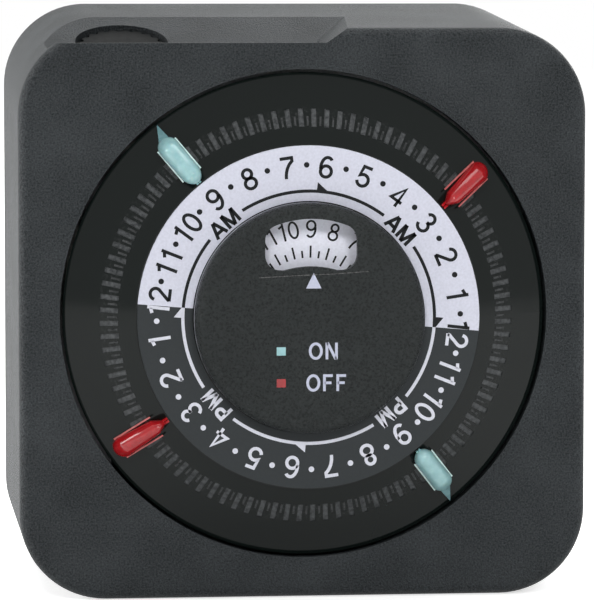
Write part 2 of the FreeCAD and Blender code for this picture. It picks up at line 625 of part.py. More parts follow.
# Plug
def blade(name, sign):
    """A flat blade with its hole and chamfered tip, and a shoulder inside the back wall."""
    flat = block(name + "_flat",
                 ("Sizes.blade_thickness", "Sizes.blade_length + Sizes.back_wall + Sizes.blade_inside",
                  "Sizes.blade_width"),
                 ("%d * Sizes.blade_spacing / 2 - Sizes.blade_thickness / 2" % sign,
                  "-Sizes.back_wall - Sizes.blade_inside", "Sizes.plug_height - Sizes.blade_width / 2"))
    shoulder = block(name + "_shoulder",
                     ("Sizes.blade_thickness", "Sizes.blade_inside", "Sizes.blade_width + 3"),
                     ("%d * Sizes.blade_spacing / 2 - Sizes.blade_thickness / 2" % sign,
                      "-Sizes.back_wall - Sizes.blade_inside", "Sizes.plug_height - Sizes.blade_width / 2 - 1.5"))
    hole = rod(name + "_hole", "Sizes.blade_hole_radius", "Sizes.blade_spacing",
               ("0 * Sizes.wall" if sign > 0 else "-Sizes.blade_spacing",
                "Sizes.blade_length - Sizes.blade_hole_setback", "Sizes.plug_height"),
               FreeCAD.Rotation(FreeCAD.Vector(0, 1, 0), 90))
    full = cut(name + "_full", joined(name + "_blank", [flat, shoulder]), [hole])
    doc.recompute()
    tip = size("blade_length")
    made = doc.addObject("Part::Chamfer", name)
    made.Base = full
    made.Edges = [(n + 1, size("blade_tip_chamfer"), size("blade_tip_chamfer"))
                  for n, edge in enumerate(full.Shape.Edges)
                  if all(abs(vertex.Point.y - tip) < 1e-4 for vertex in edge.Vertexes)]
    made.Label = name
    return made


line_blade = blade("line_blade", 1)
neutral_blade = blade("neutral_blade", -1)

ground_pin = new_body("ground_pin")
pin_sketch = new_sketch(ground_pin, "ground_pin_profile", "XY_Plane")
outline(pin_sketch, [("0", "-pin_end"), ("pin_neck", "-pin_end"), ("pin_neck", "pin_relief"),
                     ("ground_radius", "pin_relief"), ("ground_radius", "pin_taper"),
                     ("pin_bevel_radius", "pin_bevel"), ("pin_tip_radius", "ground_length"), ("0", "ground_length")])
turned(ground_pin, "ground_pin_turned", pin_sketch)
placed(ground_pin, "0", "0", "Sizes.plug_height - Sizes.ground_drop")

# Dial
dial_ring = new_body("dial_ring")
dial_sketch = new_sketch(dial_ring, "dial_profile", "XY_Plane")
outline(dial_sketch, [("hub_bore", "-dial_top"), ("dial_top_radius", "-dial_top"), ("dial_radius", "-dial_edge"),
                      ("dial_radius", "-skirt_end"), ("skirt_inner", "-skirt_end"),
                      ("skirt_inner", "-flank_inner_edge"), ("flank_inner_radius", "-flank_inner_top"),
                      ("hub_radius", "-flank_inner_top"), ("hub_radius", "-hub_end"), ("hub_bore", "-hub_end")])
turned(dial_ring, "dial_turned", dial_sketch)
slot_sketch = new_sketch(dial_ring, "slot_outline", "XZ_Plane", "Sizes.hub_end")
outline(slot_sketch, [("slot_inner", "-slot_half"), ("slot_outer", "-slot_half"),
                      ("slot_outer", "slot_half"), ("slot_inner", "slot_half")])
slot_sketch.setExpression("AttachmentOffset.Rotation.Angle", "Sizes.slot_phase * 1deg")
slot_pocket = pocket(dial_ring, "slot", slot_sketch, "Sizes.hub_length + 1", backwards=True)
around(dial_ring, "slots", slot_pocket, slot_sketch, "96")


def ring(name, outer, inner, depth, thickness):
    """A flat ring about the dial axis."""
    made = new_body(name)
    sketch = new_sketch(made, name + "_outline", "XZ_Plane", depth)
    round_outline(sketch, outer)
    round_outline(sketch, inner)
    pad(made, name + "_pad", sketch, thickness)
    return made


dial_label = ring("dial_label", "label_outer", "label_inner", "Sizes.dial_top", "Sizes.label_thickness")
time_scale_disc = ring("time_scale_disc", "scale_outer", "hub_bore", "Sizes.dial_top", "Sizes.scale_thickness")


# Gears
def toothed(name, owner, teeth, radius, depth, thickness, bore, turn=None):
    """Straight-flanked teeth on a disc with a bore; turn is an expression in degrees."""
    disc = new_sketch(owner, name + "_disc_outline", "XZ_Plane", depth)
    round_outline(disc, radius + "_root")
    round_outline(disc, bore)
    pad(owner, name + "_disc", disc, thickness)
    tooth = new_sketch(owner, name + "_tooth_outline", "XZ_Plane", depth)
    outline(tooth, [(radius + "_foot", "-tooth_root_half"), (radius, "-tooth_half"), (radius + "_tip", "-tooth_tip_half"),
                    (radius + "_tip", "tooth_tip_half"), (radius, "tooth_half"), (radius + "_foot", "tooth_root_half")])
    if turn:
        tooth.setExpression("AttachmentOffset.Rotation.Angle", turn)
    feature = pad(owner, name + "_tooth", tooth, thickness)
    return around(owner, name + "_teeth", feature, tooth, "Sizes." + teeth)


dial_gear = new_body("dial_gear")
toothed("dial_gear", dial_gear, "dial_teeth", "dial_gear_radius", "Sizes.hub_end", "Sizes.dial_gear_thickness",
        "hub_radius")

idler_gear = new_body("idler_gear")
toothed("idler_wheel", idler_gear, "idler_teeth", "idler_radius", "Sizes.plate_front + Sizes.gear_clearance",
        "Sizes.wheel_thickness", "arbor_bore")
sleeve_sketch = new_sketch(idler_gear, "idler_sleeve_outline", "XZ_Plane", "Sizes.plate_front + Sizes.gear_clearance")
round_outline(sleeve_sketch, "sleeve_radius")
round_outline(sleeve_sketch, "arbor_bore")
pad(idler_gear, "idler_sleeve", sleeve_sketch,
    "Sizes.hub_end + Sizes.dial_gear_thickness - Sizes.plate_front - Sizes.gear_clearance")
toothed("idler_leaf", idler_gear, "leaf_teeth", "leaf_radius", "Sizes.hub_end", "Sizes.dial_gear_thickness",
        "arbor_bore", "Sizes.idler_angle * 1deg + 180deg + 180deg / Sizes.leaf_teeth"
        " + Sizes.idler_angle * Sizes.dial_teeth / Sizes.leaf_teeth * 1deg")
placed(idler_gear, "Sizes.idler_x", "0", "Sizes.idler_z")

motor_pinion = new_body("motor_pinion")
toothed("motor_pinion", motor_pinion, "pinion_teeth", "pinion_radius", "Sizes.plate_front + Sizes.gear_clearance / 2",
        "Sizes.wheel_thickness + Sizes.gear_clearance", "motor_shaft_radius",
        "Sizes.motor_angle * 1deg + 180deg + 180deg / Sizes.pinion_teeth"
        " + Sizes.motor_angle * Sizes.idler_teeth / Sizes.pinion_teeth * 1deg")
placed(motor_pinion, "Sizes.motor_x", "0", "Sizes.motor_z")


# Fixed post and cap
center_post = new_body("center_post")
post_sketch = new_sketch(center_post, "post_profile", "XY_Plane")
outline(post_sketch, [("0", "-plate_front"), ("post_flange", "-plate_front"), ("post_flange", "-post_shoulder"),
                      ("post_radius", "-post_shoulder"), ("post_radius", "-cap_face_back"), ("0", "-cap_face_back")])
turned(center_post, "post_turned", post_sketch)

cap_body = new_body("cap_body")
cap_sketch = new_sketch(cap_body, "cap_profile", "XY_Plane")
outline(cap_sketch, [("0", "-cap_face_back"), ("cap_inner", "-cap_face_back"), ("cap_inner", "-cap_back"),
                     ("cap_radius", "-cap_back"), ("cap_radius", "-cap_front"), ("0", "-cap_front")])
cap_turned = turned(cap_body, "cap_turned", cap_sketch)
rounded(cap_body, "cap_rim", cap_turned, lies_at(size("cap_front")), "Sizes.cap_edge_radius")
window_top = rod("window_top", "Sizes.window_high", "Sizes.cap_front", ("0", "-Sizes.dial_top", "0"))
window_sides = block("window_sides", ("Sizes.window_width", "Sizes.cap_front", "Sizes.window_high"),
                     ("-Sizes.window_width / 2", "-Sizes.dial_top - Sizes.cap_front", "Sizes.window_low"))
window_bulge = rod("window_bulge", "0.95 * Sizes.window_high", "2 * Sizes.cap_front",
                   ("0", "0 * Sizes.wall", "Sizes.window_low + 0.5 - 0.95 * Sizes.window_high"))
window_raw = cut("window_raw", shared("window_block", [window_top, window_sides]), [window_bulge])
doc.recompute()
window = doc.addObject("Part::Fillet", "window")
window.Base = window_raw
window.Edges = [(n + 1, 0.17 * size("window_width"), 0.17 * size("window_width"))
                for n, edge in enumerate(window_raw.Shape.Edges)
                if is_upright(edge) and abs(abs(edge.Vertexes[0].Point.x) - size("window_width") / 2) < 1e-4]
center_cap = cut("center_cap", cap_body, [window])


# Trippers: head, fin and tail, drawn in the plane of the fin
def tripper(name, slot_number):
    """A tripper in the given slot, counted counter-clockwise from the right."""
    made = new_body(name)
    side = new_sketch(made, name + "_head_side", "XY_Plane")
    outline(side, [("head_in", "-head_in_base"), ("head_out", "-head_out_base"),
                   ("head_out", "-head_out_top"), ("head_in", "-head_in_top")])
    head = pad(made, name + "_head", side, "Sizes.tripper_head_width", both_ways=True)
    ends = rounded(made, name + "_ends", head, is_head_end, "0.49 * Sizes.tripper_head_width")
    rounded(made, name + "_top", ends, is_head_top, "0.35 * Sizes.tripper_head_width")
    fin = new_sketch(made, name + "_fin_outline", "XY_Plane")
    outline(fin, [("fin_in", "-fin_in_base"), ("fin_out", "-fin_out_base"),
                  ("head_out", "-head_out_top"), ("head_in", "-fin_in_top"), ("fin_in", "-fin_in_top")])
    pad(made, name + "_fin", fin, "Sizes.tripper_fin_width", both_ways=True)
    tail = new_sketch(made, name + "_tail_outline", "XY_Plane")
    outline(tail, [("tail_in", "-tripper_tail_end"), ("tail_out", "-tripper_tail_end"),
                   ("tail_out", "-tail_top_out"), ("tail_in", "-tail_top_in")])
    pad(made, name + "_tail", tail, "Sizes.tripper_fin_width", both_ways=True)
    made.Placement = FreeCAD.Placement(FreeCAD.Vector(), FreeCAD.Rotation(FreeCAD.Vector(0, -1, 0), 30))
    made.setExpression("Placement.Rotation.Angle",
                       "(Sizes.slot_phase + %d * Sizes.slot_pitch) * 1deg" % slot_number)
    return made


def is_head_end(edge):
    """Edges of the raw head that run along the dial axis."""
    ends = [vertex.Point for vertex in edge.Vertexes]
    return len(ends) == 2 and abs(ends[0].x - ends[1].x) < 1e-4 and abs(ends[0].z - ends[1].z) < 1e-4


def is_head_top(edge):
    """Edges of the head's front face."""
    slope = size("flank_slope")
    front = size("head_in_top") + slope * size("head_in")
    return all(abs(-vertex.Point.y + slope * vertex.Point.x - front) < 1e-3 for vertex in edge.Vertexes)


trippers = [tripper(name, number) for name, number in (("tripper_green_1", 36), ("tripper_green_2", 84),
                                                       ("tripper_red_1", 12), ("tripper_red_2", 59))]

# Gear plate, arbor and motor
gear_plate_body = new_body("gear_plate_body")
plate_sketch = new_sketch(gear_plate_body, "plate_outline", "XZ_Plane", "Sizes.plate_depth")
outline(plate_sketch, [("-plate_half", "-leg_low"), ("-leg_inner", "-leg_low"), ("-leg_inner", "-plate_low"),
                       ("leg_inner", "-plate_low"), ("leg_inner", "-leg_low"), ("plate_half", "-leg_low"),
                       ("plate_half", "plate_half"), ("-plate_half", "plate_half")])
plate_pad = pad(gear_plate_body, "plate_pad", plate_sketch, "Sizes.plate_thickness")


def is_plate_corner(edge):
    """The plate's four outer corners."""
    return is_upright(edge) and all(abs(abs(vertex.Point.x) - size("plate_half")) < 1e-4 for vertex in edge.Vertexes)


rounded(gear_plate_body, "plate_corners", plate_pad, is_plate_corner, "Sizes.plate_corner")
plate_holes = [rod("plate_hole_%d" % number, "Sizes.screw_radius + 0.1", "2 * Sizes.plate_front",
                   (corner(*signs)[0], "0 * Sizes.wall", corner(*signs)[1]))
               for number, signs in enumerate(CORNERS, start=1)]
plate_holes.append(rod("arbor_hole", "Sizes.arbor_radius", "2 * Sizes.plate_front",
                       ("Sizes.idler_x", "0 * Sizes.wall", "Sizes.idler_z")))
plate_holes.append(rod("pinion_hole", "2 * Sizes.motor_shaft_radius", "2 * Sizes.plate_front",
                       ("Sizes.motor_x", "0 * Sizes.wall", "Sizes.motor_z")))
gear_plate = cut("gear_plate", gear_plate_body, plate_holes)

idler_arbor = rod("idler_arbor", "Sizes.arbor_radius",
                  "Sizes.hub_end + Sizes.dial_gear_thickness + 0.5 - Sizes.plate_depth",
                  ("Sizes.idler_x", "-Sizes.plate_depth", "Sizes.idler_z"))
motor_can = rod("motor_can_blank", "Sizes.motor_radius", "Sizes.motor_length",
                ("Sizes.motor_x", "Sizes.motor_length - Sizes.plate_depth", "Sizes.motor_z"))
motor_bore = rod("motor_bore", "Sizes.motor_shaft_radius + Sizes.running_gap", "Sizes.motor_length",
                 ("Sizes.motor_x", "Sizes.motor_length / 2 - Sizes.plate_depth", "Sizes.motor_z"))
motor_can = cut("motor_can", motor_can, [motor_bore])
motor_shaft = rod("motor_shaft", "Sizes.motor_shaft_radius",
                  "Sizes.motor_length / 2 + Sizes.plate_thickness + 1.5 * Sizes.gear_clearance"
                  " + Sizes.wheel_thickness",
                  ("Sizes.motor_x", "Sizes.motor_length / 2 - Sizes.plate_depth", "Sizes.motor_z"))

motor_coil = new_body("motor_coil")
coil_sketch = new_sketch(motor_coil, "coil_outline", "XY_Plane")
round_outline(coil_sketch, "bobbin_radius")
pad(motor_coil, "coil_winding", coil_sketch, "Sizes.bobbin_length", both_ways=True)
for end, sign in (("top", 1), ("bottom", -1)):
    flange = new_sketch(motor_coil, "coil_flange_" + end, "XY_Plane", "%d * Sizes.bobbin_length / 2" % sign)
    round_outline(flange, "coil_flange")
    pad(motor_coil, "flange_" + end, flange, "Sizes.wheel_thickness / 2", both_ways=True)
placed(motor_coil, "Sizes.motor_x - Sizes.motor_radius - Sizes.coil_flange - 0.2",
       "Sizes.coil_flange - Sizes.plate_depth", "Sizes.motor_z")

# Receptacle
insert_block = block("insert_block",
                     ("Sizes.receptacle_width", "Sizes.receptacle_breadth", "Sizes.receptacle_height"),
                     ("-Sizes.receptacle_width / 2", "-Sizes.receptacle_depth - Sizes.receptacle_breadth / 2",
                      "-Sizes.bottom_drop"))
ALONG_Z = FreeCAD.Rotation()
insert_cuts = [
    rod("ground_chamber", "Sizes.ground_clip_radius", "Sizes.receptacle_height",
        ("0", "-Sizes.ground_depth", "Sizes.receptacle_plate - Sizes.bottom_drop"), ALONG_Z),
    rod("ground_hole", "Sizes.ground_hole_radius", "2 * Sizes.receptacle_plate",
        ("0", "-Sizes.ground_depth", "-Sizes.bottom_drop - Sizes.receptacle_plate / 2"), ALONG_Z)]
for kind, sign in (("line", 1), ("neutral", -1)):
    middle = "%d * Sizes.slot_spacing / 2" % sign
    slot_length = "Sizes.%s_slot_length" % kind
    insert_cuts.append(block(kind + "_slot",
                             ("Sizes.slot_thickness", slot_length, "2 * Sizes.receptacle_plate"),
                             (middle + " - Sizes.slot_thickness / 2", "-Sizes.slots_depth - %s / 2" % slot_length,
                              "-Sizes.bottom_drop - Sizes.receptacle_plate / 2")))
    insert_cuts.append(block(kind + "_chamber",
                             ("2 * Sizes.clip_outer", "Sizes.neutral_slot_length + 1", "Sizes.receptacle_height"),
                             (middle + " - Sizes.clip_outer",
                              "-Sizes.slots_depth - Sizes.neutral_slot_length / 2 - 0.5",
                              "Sizes.receptacle_plate - Sizes.bottom_drop")))
receptacle_insert = cut("receptacle_insert", insert_block, insert_cuts)


def blade_clip(name, sign):
    """A folded contact with two leaves that grip a blade."""
    made = new_body(name)
    sketch = new_sketch(made, name + "_outline", "XZ_Plane")
    outline(sketch, [("-clip_outer", "-clip_foot"), ("-clip_inner", "-clip_foot"), ("-clip_inner", "-clip_bridge"),
                     ("clip_inner", "-clip_bridge"), ("clip_inner", "-clip_foot"), ("clip_outer", "-clip_foot"),
                     ("clip_outer", "-clip_top"), ("-clip_outer", "-clip_top")])
    pad(made, name + "_pad", sketch, "Sizes.neutral_slot_length", both_ways=True)
    return placed(made, "%d * Sizes.slot_spacing / 2" % sign, "-Sizes.slots_depth", "0")


line_contact = blade_clip("line_contact", 1)
neutral_contact = blade_clip("neutral_contact", -1)
ground_contact = new_body("ground_contact")
clip_sketch = new_sketch(ground_contact, "ground_contact_outline", "XY_Plane", "-Sizes.ground_clip_foot")
round_outline(clip_sketch, "ground_clip_radius")
round_outline(clip_sketch, "ground_clip_bore")
pad(ground_contact, "ground_contact_pad", clip_sketch, "Sizes.ground_clip_foot - Sizes.clip_top")
placed(ground_contact, "0", "-Sizes.ground_depth", "0")


def strap(name, points, width, x):
    """A bent strip, drawn from the side."""
    made = new_body(name)
    sketch = new_sketch(made, name + "_outline", "YZ_Plane")
    outline(sketch, points)
    pad(made, name + "_pad", sketch, width, both_ways=True)
    return placed(made, x, "0", "0")


neutral_strap = strap("neutral_strap",
                      [("-strap_back", "blade_foot"), ("-strap_back", "-clip_top"), ("-slots_depth", "-clip_top"),
                       ("-slots_depth", "-strap_top"), ("-strap_front", "-strap_top"), ("-strap_front", "blade_foot")],
                      "2 * Sizes.slot_thickness", "-Sizes.slot_spacing / 2")
ground_strap = strap("ground_strap",
                     [("-pin_end", "-pin_strap_top"), ("-pin_end", "-clip_top"), ("-ground_depth", "-clip_top"),
                      ("-ground_depth", "-strap_top"), ("-pin_strap_front", "-strap_top"),
                      ("-pin_strap_front", "-pin_strap_top")],
                     "2 * Sizes.slot_thickness", "0")


# Override shaft with its knob, star wheel and cam
def tilted_disc(name, radius, top, thickness, bore=None):
    """A disc on the override shaft: radius term, and expressions for its top and height."""
    made = new_body(name)
    sketch = new_sketch(made, name + "_outline", "XY_Plane", "-(%s) - (%s)" % (top, thickness))
    round_outline(sketch, radius)
    if bore:
        round_outline(sketch, bore)
    pad(made, name + "_pad", sketch, thickness)
    return tilted(made)


override_knob = tilted_disc("override_knob", "knob_radius", "Sizes.knob_sink", "Sizes.knob_thickness")
grip = new_sketch(override_knob, "knob_grip", "XY_Plane", "-Sizes.knob_sink")
round_outline(grip, "grip_radius", ("knob_radius", "0"))
grip_cut = pocket(override_knob, "knob_grip_cut", grip, "Sizes.knob_thickness")
around(override_knob, "knob_grips_cut", grip_cut, grip, "Sizes.knob_grips")
groove = new_sketch(override_knob, "knob_groove", "XY_Plane", "-Sizes.knob_sink")
outline(groove, [("-groove_reach", "-groove_half"), ("groove_reach", "-groove_half"),
                 ("groove_reach", "groove_half"), ("-groove_reach", "groove_half")])
pocket(override_knob, "knob_groove_cut", groove, "2 * Sizes.groove_half")

override_shaft = tilted_disc("override_shaft", "shaft_radius", "Sizes.knob_sink + Sizes.knob_thickness",
                             "Sizes.shaft_length - Sizes.knob_thickness")
star_wheel = tilted_disc("star_wheel", "star_hub", "Sizes.star_drop", "Sizes.star_thickness", "shaft_radius")
star_arm = new_sketch(star_wheel, "star_arm_outline", "XY_Plane", "-Sizes.star_drop - Sizes.star_thickness")
outline(star_arm, [("star_arm_root", "-star_arm_half"), ("star_radius", "-star_tip_half"),
                   ("star_radius", "star_tip_half"), ("star_arm_root", "star_arm_half")])
arm_pad = pad(star_wheel, "star_arm", star_arm, "Sizes.star_thickness")
around(star_wheel, "star_arms_all", arm_pad, star_arm, "Sizes.star_arms")
switch_cam = tilted_disc("switch_cam", "cam_radius", "Sizes.cam_drop", "Sizes.cam_thickness", "shaft_radius")
lobe = new_sketch(switch_cam, "lobe_outline", "XY_Plane", "-Sizes.cam_drop - Sizes.cam_thickness")
outline(lobe, [("star_hub", "-star_arm_half"), ("lobe_reach", "-star_tip_half"), ("lobe_reach", "star_tip_half"),
               ("star_hub", "star_arm_half")])
lobe_pad = pad(switch_cam, "lobe", lobe, "Sizes.cam_thickness")
around(switch_cam, "lobes", lobe_pad, lobe, "Sizes.star_arms")

# Switch base with the contact arms
base_block = block("base_block", ("Sizes.base_width", "Sizes.base_reach", "Sizes.base_height"),
                   ("Sizes.knob_x - Sizes.base_width / 2", "-Sizes.plate_front - Sizes.base_reach",
                    "Sizes.base_top - Sizes.base_height"))
shaft_bore_body = new_body("shaft_bore_body")
shaft_bore_sketch = new_sketch(shaft_bore_body, "shaft_bore_outline", "XY_Plane", "-Sizes.knob_sink - Sizes.shaft_length - 0.3")
round_outline(shaft_bore_sketch, "shaft_bore")
pad(shaft_bore_body, "shaft_bore_pad", shaft_bore_sketch, "Sizes.shaft_length")
tilted(shaft_bore_body)
switch_base = cut("switch_base", base_block, [shaft_bore_body])


def arm(name, x):
    """An upright contact arm on the switch base."""
    made = block(name, ("Sizes.arm_thickness", "Sizes.arm_width", "Sizes.arm_length"),
                 (x, "-Sizes.cam_depth - Sizes.arm_width / 2", "Sizes.base_top"))
    made.Label = name
    return made


MOVING_X = "Sizes.knob_x + Sizes.arm_offset"
FIXED_X = MOVING_X + " + Sizes.arm_thickness + 2 * Sizes.contact_height + Sizes.contact_gap"
moving_arm = arm("moving_contact_arm", MOVING_X)
fixed_arm = arm("fixed_contact_arm", FIXED_X)
detent_spring = arm("detent_spring", "Sizes.knob_x - Sizes.arm_offset - Sizes.arm_thickness")
rivets = [rod("rivet_%d" % number, "Sizes.contact_radius", "Sizes.contact_height",
              (x, "-Sizes.cam_depth", "Sizes.base_top + Sizes.arm_length - 1.1 * Sizes.contact_radius"),
              FreeCAD.Rotation(FreeCAD.Vector(0, 1, 0), 90))
          for number, x in ((1, MOVING_X + " + Sizes.arm_thickness"),
                            (2, FIXED_X + " - Sizes.contact_height"))]
contact_rivets = doc.addObject("Part::Compound", "contact_rivets")
contact_rivets.Links = rivets

PIECES = [front_housing, rear_housing, housing_screws, center_cap, center_post, gear_plate, idler_arbor,
          motor_can, motor_coil, line_blade, neutral_blade, ground_pin, receptacle_insert, line_contact,
          neutral_contact, ground_contact, neutral_strap, ground_strap, switch_base, moving_arm, fixed_arm,
          detent_spring, contact_rivets, dial_ring, dial_label, time_scale_disc, dial_gear, idler_gear,
          motor_pinion, motor_shaft, override_knob, override_shaft, star_wheel, switch_cam] + trippers

doc.recompute()
os.makedirs("parts", exist_ok=True)
for thing in doc.Objects:
    if "Invalid" in thing.State or "Error" in thing.State:
        raise RuntimeError("%s failed: %s" % (thing.Name, thing.State))
for piece in PIECES:
    if piece.Shape.isNull() or not piece.Shape.isValid():
        raise RuntimeError(piece.Label + " has no valid shape")
    print("%-22s %2d solids %9.1f mm3" % (piece.Label, len(piece.Shape.Solids), piece.Shape.Volume))
    piece.Shape.exportStep(os.path.join("parts", piece.Label + ".step"))
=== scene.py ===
import math

import bmesh
import bpy
import numpy as np
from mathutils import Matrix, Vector


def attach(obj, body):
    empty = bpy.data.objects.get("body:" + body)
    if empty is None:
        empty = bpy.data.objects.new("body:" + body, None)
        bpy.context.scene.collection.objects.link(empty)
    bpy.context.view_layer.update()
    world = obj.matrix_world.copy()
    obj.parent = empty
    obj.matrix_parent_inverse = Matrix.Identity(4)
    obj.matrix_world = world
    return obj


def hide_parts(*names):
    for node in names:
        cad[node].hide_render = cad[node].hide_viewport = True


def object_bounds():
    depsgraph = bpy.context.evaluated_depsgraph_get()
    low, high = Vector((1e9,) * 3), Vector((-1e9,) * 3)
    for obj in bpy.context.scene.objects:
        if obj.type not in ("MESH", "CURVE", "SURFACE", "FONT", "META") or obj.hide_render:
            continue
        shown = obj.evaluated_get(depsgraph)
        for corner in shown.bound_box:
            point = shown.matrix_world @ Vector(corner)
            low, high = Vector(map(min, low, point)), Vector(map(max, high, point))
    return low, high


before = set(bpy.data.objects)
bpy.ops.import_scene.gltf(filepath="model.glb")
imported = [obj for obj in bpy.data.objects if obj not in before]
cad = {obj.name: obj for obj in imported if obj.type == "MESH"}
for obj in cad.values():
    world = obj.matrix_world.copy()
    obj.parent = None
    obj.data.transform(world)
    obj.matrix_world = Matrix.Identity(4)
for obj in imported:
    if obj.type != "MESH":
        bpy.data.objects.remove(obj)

cad_low, cad_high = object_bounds()

# Camera
# A long lens 0.58 m in front of the dial, a little to its left and above it, aimed just beside its axis.
lens = 263.1
eye, aim = Vector((-0.0626, -0.627, 0.0458)), Vector((-0.0010, -0.048, 0.0019))
picture = bpy.data.cameras.new("picture")
picture.lens = lens
camera = bpy.data.objects.new("picture", picture)
camera.location = eye
camera.rotation_euler = (aim - eye).to_track_quat("-Z", "Y").to_euler()
bpy.context.scene.collection.objects.link(camera)
bpy.context.scene.camera = camera


# Housing
# Two moulded halves of charcoal plastic that meet 8 mm from the back. The mould gives every outside
# face a fine even grain, which dulls it and breaks up its highlights.
def blank_material(name, gloss=0.5):
    """A new material, its nodes, the function that joins two sockets, and the node of its surface. Gloss is
    how strongly that reflects."""
    material = bpy.data.materials.new(name)
    material.use_nodes = True
    skin = material.node_tree.nodes["Principled BSDF"]
    skin.inputs["Specular IOR Level"].default_value = gloss
    return material, material.node_tree.nodes, material.node_tree.links.new, skin


def feed(join, term, socket):
    """Joins an output to a socket, or gives the socket a plain value."""
    if isinstance(term, bpy.types.NodeSocket):
        join(term, socket)
    else:
        socket.default_value = term


def noise(nodes, join, place, scale, detail=2):
    """Noise with cells of 1 / scale metres."""
    made = nodes.new("ShaderNodeTexNoise")
    made.inputs["Scale"].default_value = scale
    made.inputs["Detail"].default_value = detail
    join(place, made.inputs["Vector"])
    return made.outputs["Fac"]


def spread(nodes, join, value, low=0, high=1, start=0, end=1):
    """Runs from low to high while the value runs from start to end, and goes no further outside them."""
    made = nodes.new("ShaderNodeMapRange")
    made.inputs["From Min"].default_value = start
    made.inputs["From Max"].default_value = end
    made.inputs["To Min"].default_value = low
    made.inputs["To Max"].default_value = high
    join(value, made.inputs["Value"])
    return made.outputs["Result"]


def tones(nodes, join, value, first, last, start, end):
    """Colour that runs from first to last while the value runs from start to end."""
    made = nodes.new("ShaderNodeValToRGB")
    made.color_ramp.elements[0].position = start
    made.color_ramp.elements[0].color = (*first, 1)
    made.color_ramp.elements[1].position = end
    made.color_ramp.elements[1].color = (*last, 1)
    join(value, made.inputs["Fac"])
    return made.outputs["Color"]


def worked_out(nodes, join, operation, *terms):
    """The number that the operation makes of its terms, each an output or a plain number."""
    made = nodes.new("ShaderNodeMath")
    made.operation = operation
    for term, socket in zip(terms, made.inputs):
        feed(join, term, socket)
    return made.outputs[0]


def mixed(nodes, join, share, first, second):
    """Colour that goes from first to second while the share goes from 0 to 1."""
    made = nodes.new("ShaderNodeMix")
    made.data_type = "RGBA"
    join(share, made.inputs["Factor"])
    for term, socket in ((first, made.inputs[6]), (second, made.inputs[7])):
        feed(join, term, socket)
    return made.outputs[2]


def grained_plastic(name, deep, pale, grain, relief, smooth, rough, gloss=0.5):
    """Colour runs from deep to pale and roughness from smooth to rough with a fine noise whose cell is grain
    mm; the same noise, times relief mm, is the height of the grain. A noise 40 times as coarse shifts the
    tone a little."""
    material, nodes, join, skin = blank_material(name, gloss)
    place = nodes.new("ShaderNodeTexCoord").outputs["Object"]
    fine = noise(nodes, join, place, scale=1000 / grain, detail=3)
    broad = noise(nodes, join, place, scale=25 / grain)
    broad_share = 0.35
    blended = worked_out(nodes, join, "MULTIPLY_ADD", broad, broad_share, fine)
    join(tones(nodes, join, blended, deep, pale, start=0.45, end=0.9), skin.inputs["Base Color"])
    join(spread(nodes, join, fine, low=smooth, high=rough, start=0.3, end=0.7), skin.inputs["Roughness"])
    height = nodes.new("ShaderNodeBump")
    height.inputs["Distance"].default_value = relief / 1000
    join(fine, height.inputs["Height"])
    join(height.outputs["Normal"], skin.inputs["Normal"])
    return material


def dress(material, *names):
    """Makes the material the only one of each named CAD node."""
    for name in names:
        cad[name].data.materials.clear()
        cad[name].data.materials.append(material)


def parting_line(material, level, width, shade):
    """Darkens a plastic to shade where its depth y is within half a width of level, all in mm."""
    nodes, join = material.node_tree.nodes, material.node_tree.links.new
    skin = nodes["Principled BSDF"]
    plain = skin.inputs["Base Color"].links[0].from_socket
    apart = nodes.new("ShaderNodeSeparateXYZ")
    join(nodes.new("ShaderNodeTexCoord").outputs["Object"], apart.inputs[0])
    near = worked_out(nodes, join, "COMPARE", apart.outputs["Y"], level / 1000, width / 2000)
    join(mixed(nodes, join, near, plain, (*shade, 1)), skin.inputs["Base Color"])
    return material


charcoal = grained_plastic("charcoal", (0.004, 0.006, 0.007), (0.05, 0.056, 0.06),
                           grain=0.24, relief=0.3, smooth=0.38, rough=0.58, gloss=0.14)
seam_depth, seam_width, seam_shade = -8, 0.3, (0.001, 0.001, 0.001)
dress(parting_line(charcoal, seam_depth, seam_width, seam_shade), "front_housing", "rear_housing")
insert = grained_plastic("charcoal_insert", (0.012, 0.014, 0.015), (0.034, 0.037, 0.04),
                         grain=0.4, relief=0.04, smooth=0.4, rough=0.58, gloss=0.2)
dress(insert, "receptacle_insert")


# Metal parts
# Four zinc-plated screws hold the halves together. Blades, pin and contacts are stamped from brass, the plate
# and the motor's can from steel. Drawing and tumbling leave fine streaks on all of them.
def drawn_metal(name, dull, bright, along, smooth, rough):
    """Metal whose colour and roughness follow a noise that is stretched 12 times along one axis."""
    material, nodes, join, skin = blank_material(name)
    skin.inputs["Metallic"].default_value = 1
    stretch = nodes.new("ShaderNodeMapping")
    stretch.inputs["Scale"].default_value = [1 / 12 if axis == along else 1 for axis in "XYZ"]
    join(nodes.new("ShaderNodeTexCoord").outputs["Object"], stretch.inputs["Vector"])
    streaks = noise(nodes, join, stretch.outputs["Vector"], scale=5000, detail=4)
    join(tones(nodes, join, streaks, dull, bright, start=0.35, end=0.65), skin.inputs["Base Color"])
    join(spread(nodes, join, streaks, low=smooth, high=rough), skin.inputs["Roughness"])
    return material


